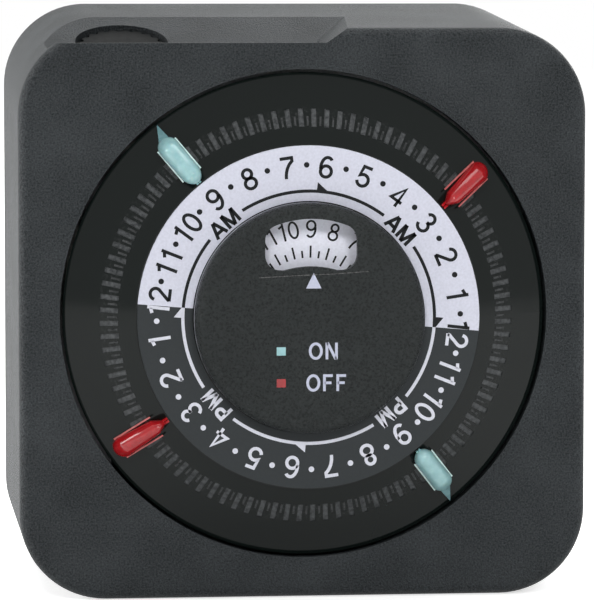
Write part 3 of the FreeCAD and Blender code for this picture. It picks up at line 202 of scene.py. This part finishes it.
dress(drawn_metal("zinc", (0.26, 0.26, 0.27), (0.44, 0.44, 0.46), along="Y", smooth=0.35, rough=0.6),
      "housing_screws")
dress(drawn_metal("steel_sheet", (0.46, 0.46, 0.47), (0.6, 0.6, 0.61), along="Z", smooth=0.25, rough=0.5),
      "gear_plate", "idler_arbor", "motor_can", "motor_shaft", "detent_spring")
dress(drawn_metal("brass", (0.6, 0.43, 0.18), (0.8, 0.61, 0.3), along="Y", smooth=0.18, rough=0.42),
      "line_blade", "neutral_blade", "ground_pin", "line_contact", "neutral_contact", "ground_contact",
      "neutral_strap", "ground_strap", "moving_contact_arm", "fixed_contact_arm", "motor_pinion")
dress(drawn_metal("silver_face", (0.68, 0.68, 0.67), (0.82, 0.82, 0.8), along="X", smooth=0.2, rough=0.4),
      "contact_rivets")

# Movement
# The post, wheels, cam and switch base are natural white mouldings, slightly yellow, that are pressed on
# their shafts or screwed down. The motor's coil is taped in amber.
natural = grained_plastic("natural_moulding", (0.56, 0.55, 0.5), (0.7, 0.69, 0.64),
                          grain=0.8, relief=0.01, smooth=0.3, rough=0.45)
dress(natural, "center_post", "dial_gear", "idler_gear", "override_shaft", "star_wheel", "switch_cam",
      "switch_base")
dress(grained_plastic("coil_tape", (0.34, 0.13, 0.03), (0.52, 0.22, 0.06),
                      grain=0.5, relief=0.03, smooth=0.3, rough=0.5), "motor_coil")

# Knob
# A small scalloped wheel of black plastic in the recess at the upper left corner, pressed on the override
# shaft and turned by thumb.
knob_black = grained_plastic("knob_black", (0.007, 0.008, 0.008), (0.011, 0.012, 0.012),
                             grain=1.2, relief=0.006, smooth=0.35, rough=0.5, gloss=0.04)
dress(knob_black, "override_knob")


# Dial
# A gloss black moulding with a slight green cast. Its sloping flank has 96 slots, one for each quarter hour,
# and a raised pip between each two. The grey filling the open slots and the grey specks in their band are a
# painted highlight where the slot walls catch light; the pips are a lighter grey than the dial.
def scuffed_gloss(name, clean, slot_glint, inner, outer, fade=0.3):
    """Gloss plastic with grey specks in the colour slot_glint, a painted highlight, from radius inner to radius
    outer about the dial's axis, in mm. The specks' share is fine noise times two ramps, one rising past the
    inner radius and one falling past the outer, each over fade to both sides of it."""
    material, nodes, join, skin = blank_material(name, gloss=0.17)
    place = nodes.new("ShaderNodeTexCoord").outputs["Object"]
    flat = nodes.new("ShaderNodeVectorMath")
    flat.operation = "MULTIPLY"
    flat.inputs[1].default_value = (1000, 0, 1000)
    join(place, flat.inputs[0])
    radius = nodes.new("ShaderNodeVectorMath")
    radius.operation = "LENGTH"
    join(flat.outputs["Vector"], radius.inputs[0])
    rise = spread(nodes, join, radius.outputs["Value"], start=inner - fade, end=inner + fade)
    fall = spread(nodes, join, radius.outputs["Value"], start=outer + fade, end=outer - fade)
    specks = noise(nodes, join, place, scale=2600, detail=4)
    sparse = spread(nodes, join, specks, high=0.35, start=0.5, end=0.75)
    band = worked_out(nodes, join, "MULTIPLY", rise, fall)
    share = worked_out(nodes, join, "MULTIPLY", band, sparse)
    join(mixed(nodes, join, share, (*clean, 1), (*slot_glint, 1)), skin.inputs["Base Color"])
    join(spread(nodes, join, share, low=0.1, high=0.8), skin.inputs["Roughness"])
    return material


# The grey specks in the slot band of the dial are a painted highlight where the slot walls catch light.
dress(scuffed_gloss("dial_gloss", (0.0045, 0.0068, 0.0062), (0.05, 0.052, 0.053), inner=25.1, outer=27.5),
      "dial_ring")

slots, slot_turn, slot_pitch = 96, -5.8, 3.75
tripper_slots = {"tripper_green_1": 36, "tripper_green_2": 84, "tripper_red_1": 12, "tripper_red_2": 59}
flank_start, flank_top, flank_fall = 22.9, 53, 0.602
bar_sides = np.array([[0, 1, 3, 2], [4, 6, 7, 5], [0, 4, 5, 1], [2, 3, 7, 6], [0, 2, 6, 4], [1, 5, 7, 3]])


def flank(radius):
    """Height of the dial's flank in mm: flank_top at radius flank_start, and flank_fall less for each mm."""
    return flank_top - flank_fall * (radius - flank_start)


def flank_bars(name, numbers, ends, width, foot, top, narrowing):
    """One tapered bar for each slot number. Its corners are two radii x two sides x two heights over the
    flank, turned to the slot's angle; the upper ones are drawn in by narrowing."""
    angle = np.radians(slot_turn + slot_pitch * np.asarray(numbers, float))[:, None]
    far, side, up = np.meshgrid([0, 1], [-1, 1], [0, 1], indexing="ij")
    far, side, up = far.ravel(), side.ravel(), up.ravel()
    inset = narrowing * up
    radius = np.where(far > 0, ends[1] - inset, ends[0] + inset)[None, :]
    across = (side * (width / 2 - inset))[None, :]
    height = flank(radius) + np.where(up > 0, top, foot)[None, :]
    points = np.stack([radius * np.cos(angle) - across * np.sin(angle), -height + 0 * angle,
                       radius * np.sin(angle) + across * np.cos(angle)], -1) / 1000
    faces = (bar_sides[None] + 8 * np.arange(len(numbers))[:, None, None]).reshape(-1, 4)
    return solid(name, points.reshape(-1, 3), faces)


def solid(name, points, faces, soft=False):
    """A mesh object at the origin from points in metres and faces as point numbers, its faces turned
    outwards. A soft one has its double points merged and is smooth over edges of less than 35 degrees."""
    mesh = bpy.data.meshes.new(name)
    mesh.from_pydata(points.tolist(), [], [list(face) for face in faces])
    work = bmesh.new()
    work.from_mesh(mesh)
    if soft:
        bmesh.ops.remove_doubles(work, verts=work.verts, dist=1e-7)
    bmesh.ops.recalc_face_normals(work, faces=work.faces)
    work.to_mesh(mesh)
    work.free()
    if soft:
        mesh.shade_smooth()
        mesh.set_sharp_from_angle(angle=math.radians(35))
    made = bpy.data.objects.new(name, mesh)
    bpy.context.scene.collection.objects.link(made)
    return made


def fitted(piece, material, body):
    """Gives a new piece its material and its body."""
    piece.data.materials.append(material)
    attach(piece, body)
    return piece


# The grey bars that fill the open slots are a painted highlight where the slot walls catch light.
slot_highlight = grained_plastic("painted_slot_highlight", (0.01, 0.012, 0.013), (0.085, 0.09, 0.093),
                          grain=0.45, relief=0.05, smooth=0.4, rough=0.65, gloss=0.2)
# The raised pips are a lighter grey than the dial.
pip_grey = grained_plastic("pip_grey_plastic", (0.005, 0.007, 0.007), (0.07, 0.073, 0.075),
                        grain=0.35, relief=0.04, smooth=0.25, rough=0.6, gloss=0.2)
open_slots = [n for n in range(slots) if n not in tripper_slots.values()]
fitted(flank_bars("slot_highlight_bars", open_slots, ends=(25.12, 27.48), width=0.68, foot=-0.6, top=-0.12,
                  narrowing=0), slot_highlight, "dial")
fitted(flank_bars("slot_pips", np.arange(slots) + 0.5, ends=(25.2, 26.5), width=0.36, foot=-0.05, top=0.12,
                  narrowing=0.1), pip_grey, "dial")


# Label
# A printed ring glued to the dial's face: pale for the hours before noon, dark for those after, so the ink
# changes from black to white at the line through both twelves. The dial stands turned by 4.9 degrees.
dial_turn = -4.9


def two_tone(name, above, below, smooth, rough):
    """Colour above on one side of the line through both twelves and below on the other, told apart by the
    sign of the dot product of the place and the line's normal; fine noise varies it like print on paper."""
    material, nodes, join, skin = blank_material(name, gloss=0.16)
    place = nodes.new("ShaderNodeTexCoord").outputs["Object"]
    side = nodes.new("ShaderNodeVectorMath")
    side.operation = "DOT_PRODUCT"
    side.inputs[1].default_value = (-math.sin(math.radians(dial_turn)), 0, math.cos(math.radians(dial_turn)))
    join(place, side.inputs[0])
    upper = worked_out(nodes, join, "GREATER_THAN", side.outputs["Value"], 0)
    fibres = noise(nodes, join, place, scale=3000, detail=3)
    inked = nodes.new("ShaderNodeVectorMath")
    inked.operation = "SCALE"
    join(mixed(nodes, join, upper, (*below, 1), (*above, 1)), inked.inputs[0])
    join(spread(nodes, join, fibres, low=0.93, high=1.05, start=0.3, end=0.7), inked.inputs["Scale"])
    join(inked.outputs["Vector"], skin.inputs["Base Color"])
    join(spread(nodes, join, fibres, low=smooth, high=rough), skin.inputs["Roughness"])
    return material


# The time scale's paper is lighter than the label's pale print: painted light that makes up for the shade of the
# cap's window over it.
pale_print, dark_print, scale_paper_lightened = (0.6, 0.61, 0.7), (0.026, 0.03, 0.032), (0.76, 0.77, 0.86)
dress(two_tone("label_paper", pale_print, dark_print, smooth=0.4, rough=0.6), "dial_label")
dress(two_tone("scale_paper", scale_paper_lightened, scale_paper_lightened, smooth=0.4, rough=0.6), "time_scale_disc")


# Printed figures
# Plain sans figures of one stroke width stand with their tops outwards: twice 1 to 12 on the label and on the
# time scale, dots at the half hours, and a thin circle with the words AM and PM let into it.
def bow(x, y, wide, high, start, end, count=14):
    """Points on an ellipse about x, y from angle start to angle end, in degrees."""
    angle = np.radians(np.linspace(start, end, count))
    return np.stack([x + wide * np.cos(angle), y + high * np.sin(angle)], -1)


def run(*points):
    """Points joined by straight runs."""
    return np.array(points, float)


# Each figure has its width and its strokes, for a height of 1.
figures = {
    "0": (0.62, [bow(0.31, 0.5, 0.24, 0.44, 0, 360, 25)]),
    "1": (0.52, [run((0.1, 0.76), (0.3, 0.85)), run((0.34, 1), (0.34, 0))]),
    "2": (0.62, [np.concatenate([bow(0.3, 0.7, 0.235, 0.24, 172, -38), run((0.1, 0.13), (0.07, 0.06))]),
                 run((0.04, 0.06), (0.56, 0.06))]),
    "3": (0.62, [bow(0.29, 0.73, 0.2, 0.21, 165, -88), bow(0.29, 0.29, 0.24, 0.235, 88, -168)]),
    "4": (0.62, [run((0.43, 0.0), (0.43, 0.93), (0.06, 0.28), (0.6, 0.28))]),
    "5": (0.62, [np.concatenate([run((0.53, 0.93), (0.16, 0.93), (0.1, 0.5)),
                                 bow(0.29, 0.32, 0.245, 0.265, 122, -165)])]),
    "6": (0.62, [bow(0.31, 0.31, 0.235, 0.25, 0, 360, 21),
                 np.concatenate([bow(0.34, 0.48, 0.27, 0.46, 190, 92),
                                 bow(0.34, 0.76, 0.19, 0.18, 88, 20, 7)])]),
    "7": (0.62, [np.concatenate([run((0.05, 0.93), (0.56, 0.93)),
                                 bow(0.86, -0.02, 0.64, 0.9, 118, 178, 9)])]),
    "8": (0.62, [bow(0.31, 0.735, 0.195, 0.205, 0, 360, 21), bow(0.31, 0.29, 0.24, 0.235, 0, 360, 21)]),
    "9": (0.62, [bow(0.31, 0.69, 0.235, 0.25, 0, 360, 21),
                 np.concatenate([bow(0.28, 0.52, 0.27, 0.46, 10, -88),
                                 bow(0.28, 0.24, 0.19, 0.18, -92, -160, 7)])]),
    "A": (0.78, [run((0.05, 0), (0.37, 1)), run((0.41, 1), (0.73, 0)), run((0.17, 0.3), (0.61, 0.3))]),
    "M": (0.92, [run((0.1, 0), (0.1, 1)), run((0.13, 1), (0.46, 0)),
                 run((0.46, 0), (0.79, 1)), run((0.82, 1), (0.82, 0))]),
    "P": (0.74, [run((0.12, 0), (0.12, 0.93), (0.4, 0.93)), bow(0.4, 0.69, 0.22, 0.24, 90, -90),
                 run((0.4, 0.45), (0.12, 0.45))]),
    "O": (0.86, [bow(0.43, 0.5, 0.34, 0.44, 0, 360, 25)]),
    "N": (0.82, [run((0.12, 0), (0.12, 1)), run((0.15, 1), (0.66, 0)), run((0.69, 0), (0.69, 1))]),
    "F": (0.68, [run((0.12, 0), (0.12, 0.93), (0.62, 0.93)), run((0.12, 0.5), (0.54, 0.5))]),
}


def word(text, height, gap=0.12, wide=1.0):
    """The strokes of a word, centred on 0, 0, in mm; its letters are wide times their plain width."""
    widths = [figures[letter][0] + gap for letter in text]
    starts = np.cumsum([0] + widths[:-1]) - (sum(widths) - gap) / 2
    return [(stroke + (start, -0.5)) * (height * wide, height)
            for letter, start in zip(text, starts) for stroke in figures[letter][1]]


def around_dial(strokes, radius, angle):
    """Moves strokes so that 0, 0 is at that radius and angle from the dial's axis, their tops outwards."""
    turn = math.radians(angle)
    outwards = np.array([math.cos(turn), math.sin(turn)])
    along = np.array([math.sin(turn), -math.cos(turn)])
    return [radius * outwards + stroke[:, :1] * along + stroke[:, 1:] * outwards for stroke in strokes]


def ribbons(name, strokes, width, level, thickness):
    """Raised lines. Each point of a stroke goes half a width to both sides, along the mean normal of its two
    runs over the cosine of half their bend, which counts as sharpest_bend at least; the two sides, at two
    heights, give four rails that are joined in turn. A stroke that ends where it began is a loop; any other
    gets two end faces."""
    sharpest_bend = 0.55
    points, faces, base = [], [], 0
    for stroke in strokes:
        loop = np.allclose(stroke[0], stroke[-1])
        line = stroke[:-1] if loop else stroke
        runs = np.diff(np.concatenate([line, line[:1]]) if loop else line, axis=0)
        normals = np.stack([-runs[:, 1], runs[:, 0]], -1) / np.linalg.norm(runs, axis=1)[:, None]
        before = np.roll(normals, 1, 0) if loop else np.concatenate([normals[:1], normals])
        after = normals if loop else np.concatenate([normals, normals[-1:]])
        mean = before + after
        mean /= np.linalg.norm(mean, axis=1)[:, None]
        offset = mean * (width / 2 / np.maximum((mean * after).sum(1), sharpest_bend))[:, None]
        count = len(line)
        rails = np.stack([line + offset, line - offset, line - offset, line + offset], 1)
        heights = np.array([level + thickness, level + thickness, level, level])
        placed = np.stack([rails[..., 0], np.broadcast_to(-heights, (count, 4)), rails[..., 1]], -1)
        points.append(placed.reshape(-1, 3))
        first = np.arange(count if loop else count - 1)[:, None]
        corner = np.arange(4)[None, :]
        following = (first + 1) % count
        quads = np.stack([first * 4 + corner, first * 4 + (corner + 1) % 4, following * 4 + (corner + 1) % 4,
                          following * 4 + corner], -1).reshape(-1, 4)
        if not loop:
            quads = np.concatenate([quads, [[3, 2, 1, 0]], [[count * 4 - 4 + k for k in range(4)]]])
        faces.append(quads + base)
        base += count * 4
    return solid(name, np.concatenate(points) / 1000, np.concatenate(faces))


black_print, white_print = (0.004, 0.005, 0.006), (0.62, 0.63, 0.7)
ink = two_tone("label_ink", black_print, white_print, smooth=0.35, rough=0.55)
hours = [str(n % 12 or 12) for n in range(24)]
hour_pitch = 360 / len(hours)
figure_turn = dial_turn - 1.7
figure_radius, figure_height, figure_gap, figure_wide, figure_stroke = 19.95, 2.95, 0.1, 1.05, 0.43
label_face, scale_face, ink_height = 53.59, 53.49, 0.04
label_hours = [s for n, hour in enumerate(hours)
               for s in around_dial(word(hour, figure_height, figure_gap, figure_wide), figure_radius,
                                    figure_turn + hour_pitch * n)]
fitted(ribbons("label_figures", label_hours, figure_stroke, label_face, ink_height), ink, "dial")
dot_radius, dot_size, dot_stroke = 20.15, 0.19, 0.36
dot = bow(0, 0, dot_size, dot_size, 0, 360, 13)
half_hours = [s for n in range(len(hours))
              for s in around_dial([dot], dot_radius, figure_turn + hour_pitch * (n + 0.5))]
fitted(ribbons("label_dots", half_hours, dot_stroke, label_face, ink_height), ink, "dial")
circle_radius, circle_stroke, word_room = 16.7, 0.42, 9.9
word_places = (("AM", 48.5), ("AM", 136.7), ("PM", 228), ("PM", 315.7))
circle_ends = [0] + [angle + side * word_room for _, angle in word_places for side in (-1, 1)] + [360]
arcs = [bow(0, 0, circle_radius, circle_radius, dial_turn + start, dial_turn + end, 24)
        for start, end in zip(circle_ends[::2], circle_ends[1::2])]
fitted(ribbons("label_circle", arcs, circle_stroke, label_face, ink_height), ink, "dial")
word_radius, word_height, word_gap, word_wide, word_stroke = 16.75, 2.1, 0.1, 1.12, 0.46
halves_of_day = [s for text, angle in word_places
                 for s in around_dial(word(text, word_height, word_gap, word_wide), word_radius,
                                      dial_turn + angle)]
fitted(ribbons("label_words", halves_of_day, word_stroke, label_face, ink_height), ink, "dial")


def plates(name, outlines, level, thickness):
    """Flat raised shapes: each outline at two heights, joined by a side face for every edge."""
    points, faces, base = [], [], 0
    for line in outlines:
        count = len(line)
        for height in (level, level + thickness):
            points.append(np.stack([line[:, 0], np.full(count, -height), line[:, 1]], -1))
        first = np.arange(count)
        following = (first + 1) % count
        faces += (np.stack([first, following, following + count, first + count], -1) + base).tolist()
        faces += [(first + base).tolist(), (first[::-1] + count + base).tolist()]
        base += 2 * count
    return solid(name, np.concatenate(points) / 1000, faces)


flag = run((0, 0.1), (-1.35, 1.05), (-1.35, 0.05))
flag_radius, flag_angles = 16.8, (0, 86.8, 180, 268.8)
flags = [s for angle in flag_angles for s in around_dial([flag], flag_radius, dial_turn + angle)]
fitted(plates("label_flags", flags, label_face, ink_height), ink, "dial")

nine_angle = 88.6
scale_turn = nine_angle - hour_pitch * 9
scale_radius, scale_height, scale_gap, scale_stroke = 11.7, 2.4, 0.06, 0.28
scale_ink = two_tone("scale_ink", black_print, black_print, smooth=0.35, rough=0.55)
scale_hours = [s for n, hour in enumerate(hours)
               for s in around_dial(word(hour, scale_height, scale_gap), scale_radius,
                                    scale_turn + hour_pitch * n)]
fitted(ribbons("scale_figures", scale_hours, scale_stroke, scale_face, ink_height), scale_ink, "dial")
tick, half_tick = run((0, -0.8), (0, 0.8)), run((0, -0.8), (0, 0.15))
tick_radius, tick_stroke = 8.7, 0.25
ticks = [s for n in range(2 * len(hours))
         for s in around_dial([half_tick if n % 2 else tick], tick_radius, scale_turn + hour_pitch * n / 2)]
fitted(ribbons("scale_ticks", ticks, tick_stroke, scale_face, ink_height), scale_ink, "dial")

# Centre cap
# A fixed disc of black plastic with a sparkling grain, pressed on the post. A white arrow below its window
# points at the time, a fine crease runs beside it, and ON and OFF are printed on the lower half.
cap_grain = grained_plastic("cap_grain", (0.005, 0.007, 0.007), (0.022, 0.026, 0.026),
                            grain=0.3, relief=0.35, smooth=0.2, rough=0.42, gloss=0.16)
dress(cap_grain, "center_cap")
cap_face, print_height, cap_print = 56.59, 0.03, (0.5, 0.52, 0.64)
cap_ink = two_tone("cap_ink", cap_print, cap_print, smooth=0.4, rough=0.6)
arrow = run((0.3, 6.1), (-0.72, 4.05), (1.32, 4.05))
fitted(plates("cap_arrow", [arrow], cap_face, print_height), cap_ink, "case")
on_level, off_level, letter_height, letter_stroke = -4.2, -8.4, 2.2, 0.36
letters = [s + (1.6, on_level) for s in word("ON", letter_height)]
letters += [s + (2.0, off_level) for s in word("OFF", letter_height)]
fitted(ribbons("cap_words", letters, letter_stroke, cap_face, print_height), cap_ink, "case")
rings = [bow(0.2, 0, 0.62, 0.62, 0, 360, 25), bow(0.2, 0, 0.16, 0.16, 0, 360, 13)]
ring_stroke, ring_height = 0.14, 0.04
fitted(ribbons("cap_centre_mark", rings, ring_stroke, cap_face, ring_height), cap_grain, "case")
# The crease's pale grey is a painted highlight along it.
crease_shine = grained_plastic("crease_shine", (0.01, 0.01, 0.01), (0.16, 0.16, 0.16),
                               grain=0.3, relief=0.02, smooth=0.1, rough=0.4)
crease, crease_stroke, crease_height = run((-6.9, 5.5), (-2, 5.75), (3.2, 5.95), (7.6, 6.25)), 0.07, 0.035
fitted(ribbons("cap_crease", [crease], crease_stroke, cap_face, crease_height), crease_shine, "case")

# Trippers
# Glossy mouldings that plug into the slots, green to switch on and red to switch off: a domed bar to hold
# between two thin pale rails, a painted highlight along its edges, two fins at its inner end, a tail in the
# slot and on the green ones a prong at the outer end. The same two colours are printed on the cap as keys to
# ON and OFF.
def dome(ends, width, height, foot, narrow, wall=0.5, drop=0.35, neck=0.36):
    """Rings of a bar with round ends, as radius, side and height above the flank. Ring v of 0 to 1 lies
    inside the outline by half a width times 1 - cos(90 v), and rises from the wall to height by sin(90 v),
    less a share drop at the ends by the square of the way from the middle; the last ring is the middle line.
    Sides shrink to narrow of their width over the share neck of the length at the inner end, along a smooth
    step."""
    turn = np.linspace(0, 2 * np.pi, 48, endpoint=False)
    rise = np.linspace(0, np.pi / 2, 10)[:, None]
    reach = width / 2 * np.cos(rise)
    middle = np.where(np.cos(turn) > 0, ends[1] - width / 2, ends[0] + width / 2)[None, :]
    radius = middle + reach * np.cos(turn)
    share = np.clip((radius - ends[0]) / (neck * (ends[1] - ends[0])), 0, 1)
    side = reach * np.sin(turn) * (narrow + (1 - narrow) * share * share * (3 - 2 * share))
    away = (2 * radius - ends[0] - ends[1]) / (ends[1] - ends[0])
    up = foot + wall + (height - wall) * np.sin(rise) * (1 - drop * away ** 2)
    rings = np.stack([radius, side, up], -1)
    return np.concatenate([rings[:1] * (1, 1, 0) + (0, 0, foot), rings])


def on_flank(local, slot):
    """Turns radius, side and height above the flank into place, at the angle of that slot."""
    angle = math.radians(slot_turn + slot_pitch * slot)
    radius, side, height = local[..., 0], local[..., 1], flank(local[..., 0]) + local[..., 2]
    return np.stack([radius * math.cos(angle) - side * math.sin(angle), -height,
                     radius * math.sin(angle) + side * math.cos(angle)], -1) / 1000


def wedge(near, far, near_half, far_half, low, high, side=0.0, lean=0.0):
    """Corners of a bar from radius near to far, with its half widths there, between two heights; its far end
    is moved sideways by lean."""
    ends = ((near, near_half, 0), (far, far_half, lean))
    return np.array([[radius, side + shift + sign * half, height] for radius, half, shift in ends
                     for sign in (-1, 1) for height in (low, high)])


green = grained_plastic("green_gloss", (0.25, 0.46, 0.475), (0.34, 0.57, 0.585),
                        grain=1.2, relief=0.008, smooth=0.07, rough=0.15)
red = grained_plastic("red_gloss", (0.29, 0.003, 0.006), (0.4, 0.007, 0.011),
                      grain=1.2, relief=0.008, smooth=0.06, rough=0.14)
thin_green = grained_plastic("thin_green", (0.09, 0.19, 0.21), (0.14, 0.27, 0.29),
                             grain=1.2, relief=0.01, smooth=0.2, rough=0.35, gloss=0.3)
for colour in (green, red):
    skin = colour.node_tree.nodes["Principled BSDF"]
    skin.inputs["Subsurface Weight"].default_value = 0.12
    skin.inputs["Subsurface Scale"].default_value = 0.001
# Pale colours of the thin rails along the dome's sides, a painted highlight along its edges.
green_edge_highlight = grained_plastic("green_edge_highlight", (0.45, 0.66, 0.64), (0.72, 0.82, 0.8),
                             grain=0.6, relief=0.02, smooth=0.3, rough=0.5)
red_edge_highlight = grained_plastic("red_edge_highlight", (0.45, 0.05, 0.05), (0.6, 0.2, 0.19),
                           grain=0.6, relief=0.02, smooth=0.3, rough=0.5)
head_width, head_height, head_foot = 2.9, 3.1, 0.2
head_ends, head_narrow = {"green": (23.1, 30.2), "red": (23.5, 31.2)}, {"green": 0.85, "red": 0.45}
for body, number in tripper_slots.items():
    slot = "green" if "green" in body else "red"
    colour, edge_highlight = (green, green_edge_highlight) if slot == "green" else (red, red_edge_highlight)
    ends = head_ends[slot]
    rings = on_flank(dome(ends, head_width, head_height, head_foot, head_narrow[slot]), number)
    count = rings.shape[1]
    ring, step = np.meshgrid(np.arange(len(rings) - 1), np.arange(count), indexing="ij")
    skins = np.stack([ring * count + step, ring * count + (step + 1) % count,
                      (ring + 1) * count + (step + 1) % count, (ring + 1) * count + step], -1).reshape(-1, 4)
    fins = [wedge(near=22.95, far=24.6, near_half=0.15, far_half=0.15, low=0.1, high=0.95, side=side)
            for side in (-0.2, 0.2)]
    tail = wedge(near=25.2, far=27.4, near_half=0.25, far_half=0.25, low=-9, high=0.4)
    bars = [on_flank(bar, number) for bar in fins + [tail]]
    faces = skins.tolist() + [list(range(count))]
    for place in range(len(bars)):
        faces += (bar_sides + rings.shape[0] * count + 8 * place).tolist()
    moulding = solid(body + "_moulding", np.concatenate([rings.reshape(-1, 3)] + bars), faces, soft=True)
    fitted(moulding, colour, body)
    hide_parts(body)
    # Two thin pale strips along the dome's sides, a painted highlight of its edges.
    rails = [wedge(near=ends[0] + 1.2, far=ends[1] - 0.9, near_half=0.09, far_half=0.09, low=0.14, high=0.6,
                   side=side) for side in (-1.48, 1.48)]
    fitted(solid(body + "_rails", on_flank(np.concatenate(rails), number),
                 np.concatenate([bar_sides, bar_sides + 8])), edge_highlight, body)
    if slot == "green":
        prong = wedge(near=ends[1] - 0.6, far=31.9, near_half=0.9, far_half=0.06, low=0.15, high=0.55, lean=-0.7)
        fitted(solid(body + "_prong", on_flank(prong, number), bar_sides), thin_green, body)
key_ends, key_width = (-4.6, -3.4), 1.1
for slot, colour, key_level in (("green", green, on_level), ("red", red, off_level)):
    key = run(*[(x, key_level) for x in key_ends])
    fitted(ribbons("cap_" + slot + "_key", [key], key_width, cap_face, print_height), colour, "case")


# Studio
# A pale floor with a soft white surround. Three large soft lamps stand at the left, above and behind, and two
# small ones in front give the glossy parts their highlights.
def soft_lamp(name, place, side, strength):
    """A square area lamp of that side, turned to the object."""
    lamp = bpy.data.lights.new(name, "AREA")
    lamp.size = side
    lamp.energy = strength
    stand = bpy.data.objects.new(name, lamp)
    stand.location = place
    stand.rotation_euler = (-Vector(place)).to_track_quat("-Z", "Y").to_euler()
    bpy.context.scene.collection.objects.link(stand)


soft_lamp("left_lamp", (-1.2, 0.45, 0.3), side=0.8, strength=15)
soft_lamp("top_lamp", (0.1, 0.2, 1.2), side=0.9, strength=8)
soft_lamp("front_lamp", (-0.3, -1.25, 0.8), side=0.24, strength=7)
soft_lamp("side_lamp", (0.35, -1.35, 0.7), side=0.24, strength=6)
soft_lamp("back_lamp", (0.7, 1.2, 0.5), side=0.8, strength=8)


def backdrop_rays(nodes, join):
    """1 for the rays that show a backdrop, which are camera, transmission and glossy ones, and else 0."""
    rays = nodes.new("ShaderNodeLightPath")
    either = worked_out(nodes, join, "MAXIMUM", rays.outputs["Is Camera Ray"],
                        rays.outputs["Is Transmission Ray"])
    return worked_out(nodes, join, "MAXIMUM", either, rays.outputs["Is Glossy Ray"])


# Rays that show the backdrop see white. The others get light from it, weak in front of the object and strong
# behind it.
front_light, back_light = 0.16, 0.8
surround = bpy.data.worlds.new("surround")
surround.use_nodes = True
nodes, join = surround.node_tree.nodes, surround.node_tree.links.new
apart = nodes.new("ShaderNodeSeparateXYZ")
join(nodes.new("ShaderNodeTexCoord").outputs["Generated"], apart.inputs[0])
light = spread(nodes, join, apart.outputs["Y"], low=front_light, high=back_light, start=-0.3, end=0.5)
light.node.interpolation_type = "SMOOTHSTEP"
nodes["Background"].inputs["Color"].default_value = (1, 1, 1, 1)
join(worked_out(nodes, join, "MAXIMUM", backdrop_rays(nodes, join), light),
     nodes["Background"].inputs["Strength"])
bpy.context.scene.world = surround

reach, floor_lift = 3.0, 0.62
bottom = cad_low.z - 0.0001
floor = solid("floor", np.array([[-reach, -reach, bottom], [reach, -reach, bottom], [reach, reach, bottom],
                                 [-reach, reach, bottom]]), np.array([[0, 1, 2, 3]]))
floor_finish, nodes, join, skin = blank_material("floor_finish")
skin.inputs["Base Color"].default_value = (0.84, 0.84, 0.84, 1)
skin.inputs["Roughness"].default_value = 0.9
skin.inputs["Emission Color"].default_value = (1, 1, 1, 1)
join(worked_out(nodes, join, "MULTIPLY", backdrop_rays(nodes, join), floor_lift),
     skin.inputs["Emission Strength"])
floor.data.materials.append(floor_finish)

bpy.context.scene.view_settings.view_transform = "Standard"
